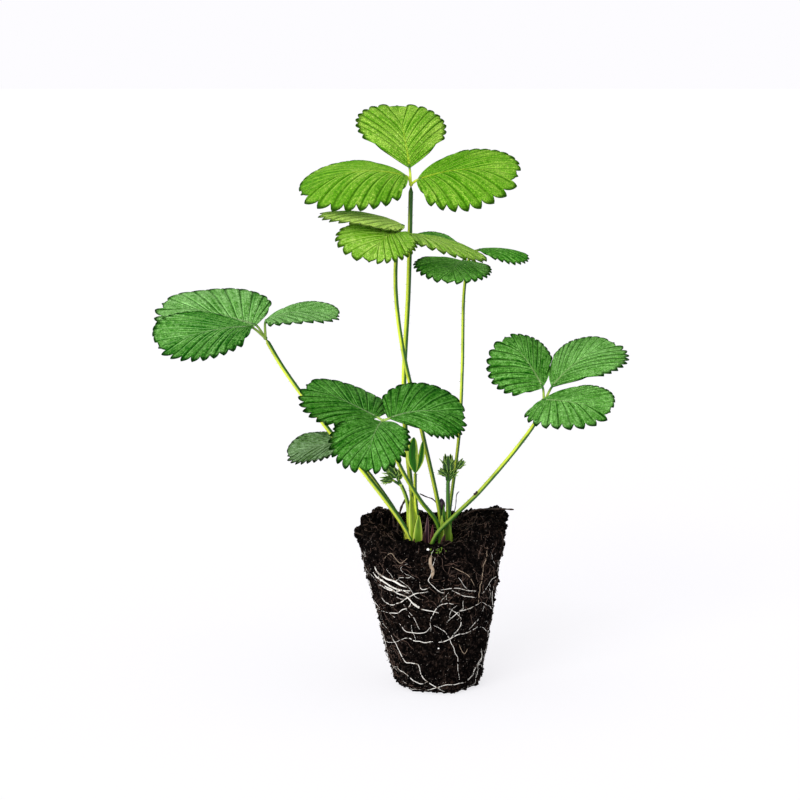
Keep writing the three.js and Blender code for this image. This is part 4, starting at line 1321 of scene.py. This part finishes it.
# The dark flower bud that is still closed: points and radii in millimetres
DARK_BUD = (
    ((1.6, -7, 74), 0.4),
    ((1.5, -7.4, 80.6), 0.45),
    ((1.4, -7.6, 82.6), 0.95),
    ((1.4, -7.7, 84.4), 1.65),
    ((1.4, -7.8, 86), 1.6),
    ((1.3, -7.8, 87.4), 0.95),
    ((1.3, -7.8, 88), 0.12),
)


def sheath_blade(foot, way, radius, stand_off, length, turn):
    """A thin sheath round a stalk's foot. It ends in a point on one side and is cut low on the
    other, where its edges meet."""
    _, normal, deep = frames_along([foot, foot + way * length])[0]
    start = foot - way * 3

    def place(u, v):
        angle = 2 * math.pi * u
        lobe = (0.5 + 0.5 * math.cos(angle + turn)) ** 1.3
        reach = v * (3 + (length - 3) * (0.42 + 0.58 * lobe))
        share = reach / length
        grip = radius + 0.2 + stand_off * max(0, 1 - share) ** 1.3 + 0.5 * (1 - lobe) * v**4
        return start + way * reach + (normal * math.cos(angle) + deep * math.sin(angle)) * grip

    piece = tidy_mesh(sheet(30, 18, place), outward=False)
    return finish_with(piece, "SOLIDIFY", thickness=SHEATH_WALL * MM, offset=-1)


class STRAWBERRY_OT_crown(bpy.types.Operator):
    """Makes the scaly crown with the pointed sheath at each stalk's foot"""

    bl_idname = "strawberry.crown"
    bl_label = "Crown and sheaths"

    def execute(self, context):
        settings = context.scene.crown
        core = balls(5, [ball_place(*core) for core in CORES])
        roughen(core, 2.4, 1.6)
        dress(core, 70, root_material("crown_scale", settings.base, linear("1c0f0c")))
        feet = [(leaf.name, leaf.stalk, leaf.radius) for leaf in LEAVES]
        feet.append(("young", YOUNG_STALK, YOUNG_RADII[0]))
        feet += [(name, stalk, TRUSS_RADII[0]) for name, stalk, *_ in TRUSSES]
        sheaths = []
        for i, (name, stalk, radius) in enumerate(feet):
            foot = Vector(stalk[0])
            way = (Vector(stalk[1]) - foot).normalized()
            sheaths.append(sheath_blade(foot, way, radius, *SHEATHS[name], i * 1.9))
        # The last green is painted shade on the sheaths' side away from the key light, and the green of
        # random patches
        tones = (linear("6a5c24"), settings.sheath, linear("86b02a"))
        green = stem_material("crown_sheath", *tones, SHEATH_REACH)
        crown = joined(core, dress(joined(*sheaths), 60, green))
        settle(crown, "crown_surface", "crown", "crown")
        return {"FINISHED"}


class STRAWBERRY_OT_scales(bpy.types.Operator):
    """Makes the dry scales, the stipules and the closed dark bud between the stalks"""

    bl_idname = "strawberry.scales"
    bl_label = "Scales and stipules"

    def execute(self, context):
        pieces = []
        for i, (path, width, middle, rim) in enumerate(SCALES):

            def radius_at(u, v, width=width):
                wide = width * even(SCALE_SHAPE, v)
                return wide, 0.22 * wide + 0.12

            skin = scale_material(f"scale_skin_{i}", linear(middle), linear(rim))
            pieces.append(dress(wrapped(spline_points(path, 16), 14, radius_at), 70, skin))
        # The last colour is the darker one that the stem material paints as shade and in random patches
        tones = (linear("a99a8c"), linear("2b1a33"), linear("2a1622"))
        skin = stem_material("dark_bud_skin", *tones, DARK_BUD_REACH)
        bud = dress(strands([DARK_BUD], 2), 70, skin)
        settle(joined(*pieces, bud), "scales_and_stipules", "crown")
        return {"FINISHED"}


class STRAWBERRY_OT_young_leaf(bpy.types.Operator):
    """Makes the young leaf, its three leaflets still folded like fans"""

    bl_idname = "strawberry.young_leaf"
    bl_label = "Folded young leaf"

    def execute(self, context):
        settings = context.scene.leaves
        fans = []
        for path, width in FOLDED_LEAFLETS:

            def radius_at(u, v, width=width):
                pleat = 1 + 0.16 * math.cos(2 * math.pi * FOLDS * u) * min(1, 3 * v)
                radius = width * even(FOLDED_SHAPE, v) * pleat
                return radius, radius * 0.62

            fans.append(wrapped(spline_points(path, 22), 8 * FOLDS, radius_at))
        skin = scale_material("folded_leaf", linear("2c7a12"), linear("cbe05a"))
        fan = dress(joined(*fans), 50, skin)
        line = spline_points(YOUNG_STALK, 24)
        stem = wrapped(line, 12, lambda u, v: even(YOUNG_RADII, v))
        down = hairs_on(line, YOUNG_RADII, 90, settings.hair_length, 71)
        green = stem_material("young_stalk", settings.stalk, settings.stalk, settings.stalk_painted_shade_and_patches)
        piece = joined(fan, dress(joined(stem, down), 80, green))
        settle(piece, "young_leaf_surface", "young_leaf", "young_leaf")
        return {"FINISHED"}


def sepal(turn, radius, width, reach, spread, turned, centre):
    """A pointed sepal that hugs the bud and ends in a long free tip. Its reach over the bud and
    its spread outwards are shares of the bud's radius."""

    def place(u, v):
        angle = math.radians(20 + 90 * min(v / 0.5, 1))
        hug = radius * 1.06
        out, up = hug * math.sin(angle), -hug * math.cos(angle)
        if v > 0.5:
            free = (v - 0.5) / 0.5
            out += spread * radius * free**1.4
            up += reach * radius * free
        wide = width * radius * math.sin(math.pi * min(1, 0.08 + 0.9 * v**0.75)) ** 0.85
        cup = 0.35 * abs(2 * u - 1) ** 1.6 * wide
        point = Vector((out - cup, (u - 0.5) * 2 * wide, up))
        return turned @ Matrix.Rotation(turn, 3, "Z") @ point + centre

    piece = tidy_mesh(sheet(6, 16, place), 0.005, outward=False)
    return finish_with(piece, "SOLIDIFY", thickness=SEPAL_WALL * MM, offset=0)


class STRAWBERRY_OT_trusses(bpy.types.Operator):
    """Makes the two trusses of green flower buds"""

    bl_idname = "strawberry.trusses"
    bl_label = "Bud trusses"

    def execute(self, context):
        leaves, crown = context.scene.leaves, context.scene.crown
        bud_green = sepal_material("sepal_green", crown.sepal, crown.sepal_edge)
        for number, (name, path, buds, code) in enumerate(TRUSSES):
            line = spline_points(path, 30)
            fork = line[-2]
            stalklets = []
            parts = []
            for k, (centre, radius, aim) in enumerate(buds):
                centre, way = Vector(centre), Vector(aim).normalized()
                turned = way.to_track_quat("Z", "Y").to_matrix()
                foot = centre - way * radius * 0.95
                joint = spline_points([fork, (fork + foot) / 2, foot], 6)
                stalklets.append([(p, 0.75 - 0.03 * j) for j, p in enumerate(joint)])
                parts.append(balls(3, [ball_place(centre, [0.95 * radius] * 3)]))
                for j in range(5):
                    turn = 2 * math.pi * j / 5 + k
                    tip = 2 + 0.7 * noise.noise(Vector((j * 1.7, k * 2.3, number)))
                    parts.append(sepal(turn, radius, 0.75, tip, -0.1, turned, centre))
                    # A narrow bract stands out between two sepals
                    turn += math.pi / 5
                    parts.append(sepal(turn, radius * 1.08, 0.36, 1.1, 0.7, turned, centre))
            stem = wrapped(line, 12, lambda u, v: even(TRUSS_RADII, v))
            down = hairs_on(line, TRUSS_RADII, 120, leaves.hair_length, 80 + number)
            # The last green is painted shade on the stalk's side away from the key light, and the green of
            # random patches
            tones = (leaves.stalk, linear(code), linear("25520f"))
            green = stem_material(f"{name}_stalk", *tones, TRUSS_REACH)
            stem = dress(joined(stem, strands(stalklets), down), 80, green)
            piece = joined(stem, dress(joined(*parts), 50, bud_green))
            settle(piece, f"{name}_surface", "bud", name)
        return {"FINISHED"}


# Stage

# The camera's place and lens in millimetres, and by how many degrees it looks down
CAMERA_PLACE = (-17.3, -987.7, 288)
CAMERA_DROP = 9
LENS = 100
SENSOR_WIDTH = 36
# From the plant towards the key light, and how many degrees wide the light is from there
KEY_WAY = (-0.6, -1.1, 0.5)
KEY_WIDTH = 38
# Width of the floor in metres
FLOOR_WIDTH = 30


class STRAWBERRY_OT_stage(bpy.types.Operator):
    """Sets the pale floor, the soft light and the photograph's camera"""

    bl_idname = "strawberry.stage"
    bl_label = "Floor, light and camera"

    def execute(self, context):
        scene, settings = context.scene, context.scene.stage
        scene.view_settings.view_transform = "Standard"
        only()
        bpy.ops.mesh.primitive_plane_add(size=FLOOR_WIDTH, location=(0, 0, 0))
        floor = context.object
        floor.name = "floor"
        # White acrylic lit from below: it is bright by itself, so that shadows on it stay faint
        material, _, shader = new_material("lit_acrylic", Roughness=0.9, Specular_IOR_Level=0)
        feed(shader, {"Emission Color": settings.floor, "Emission Strength": settings.glow})
        feed(shader, {"Base Color": toned(settings.floor, 0.3)})
        material.cycles.emission_sampling = "NONE"
        floor.data.materials.append(material)

        # The even light is stronger on the key's side. The camera itself sees a white backdrop.
        world = bpy.data.worlds.new("studio")
        world.use_nodes = True
        add = partial(add_node, world.node_tree)
        way = add("TexCoord").outputs["Generated"]
        key_way = Vector(KEY_WAY).normalized()
        towards = add("VectorMath", {0: way, 1: key_way}, operation="DOT_PRODUCT")
        ends = {"From Min": -1, "From Max": 1, "To Min": settings.dim, "To Max": settings.bright}
        light = add("MapRange", {"Value": towards, **ends})
        seen = add("LightPath").outputs["Is Camera Ray"]
        strength = add("Mix", {"Factor": seen, "A": light, "B": 1})
        sky = world.node_tree.nodes["Background"]
        feed(sky, {"Color": settings.floor, "Strength": strength})
        scene.world = world

        only()
        bpy.ops.object.light_add(type="SUN", location=key_way)
        lamp = context.object
        lamp.name = "key"
        lamp.data.energy = settings.key
        lamp.data.angle = math.radians(KEY_WIDTH)
        lamp.rotation_euler = key_way.to_track_quat("Z", "Y").to_euler()

        only()
        tilt = (math.radians(90 - CAMERA_DROP), 0, 0)
        bpy.ops.object.camera_add(location=Vector(CAMERA_PLACE) * MM, rotation=tilt)
        camera = context.object
        camera.data.lens = LENS
        camera.data.sensor_width = SENSOR_WIDTH
        camera.data.clip_start = 0.01
        scene.camera = camera
        return {"FINISHED"}


class STRAWBERRY_PT_plant(bpy.types.Panel):
    """Lists the steps that build the plant and their settings"""

    bl_label = "Strawberry plug plant"
    bl_idname = "STRAWBERRY_PT_plant"
    bl_space_type = "VIEW_3D"
    bl_region_type = "UI"
    bl_category = "Strawberry"

    def draw(self, context):
        for step in STEPS:
            self.layout.operator(step.bl_idname)
        for name, group in SETTINGS.items():
            box = self.layout.box()
            box.label(text=name.title())
            for choice in group.__annotations__:
                box.prop(getattr(context.scene, name), choice)


SETTINGS = {
    "peat": PeatSettings,
    "roots": RootSettings,
    "leaves": LeafSettings,
    "crown": CrownSettings,
    "stage": StageSettings,
}
STEPS = (
    STRAWBERRY_OT_peat,
    STRAWBERRY_OT_roots,
    STRAWBERRY_OT_litter,
    STRAWBERRY_OT_crown,
    STRAWBERRY_OT_scales,
    STRAWBERRY_OT_stalks,
    STRAWBERRY_OT_blades,
    STRAWBERRY_OT_young_leaf,
    STRAWBERRY_OT_trusses,
    STRAWBERRY_OT_stage,
)


def register():
    for part in (*SETTINGS.values(), *STEPS, STRAWBERRY_PT_plant):
        bpy.utils.register_class(part)
    for name, group in SETTINGS.items():
        setattr(bpy.types.Scene, name, PointerProperty(type=group))


def unregister():
    for name in SETTINGS:
        delattr(bpy.types.Scene, name)
    for part in (STRAWBERRY_PT_plant, *STEPS, *SETTINGS.values()):
        bpy.utils.unregister_class(part)


def main():
    register()
    bpy.ops.strawberry.peat()
    bpy.ops.strawberry.roots()
    bpy.ops.strawberry.litter()
    bpy.ops.strawberry.crown()
    bpy.ops.strawberry.scales()
    bpy.ops.strawberry.stalks()
    bpy.ops.strawberry.blades()
    bpy.ops.strawberry.young_leaf()
    bpy.ops.strawberry.trusses()
    bpy.ops.strawberry.stage()


if __name__ == "__main__":
    main()
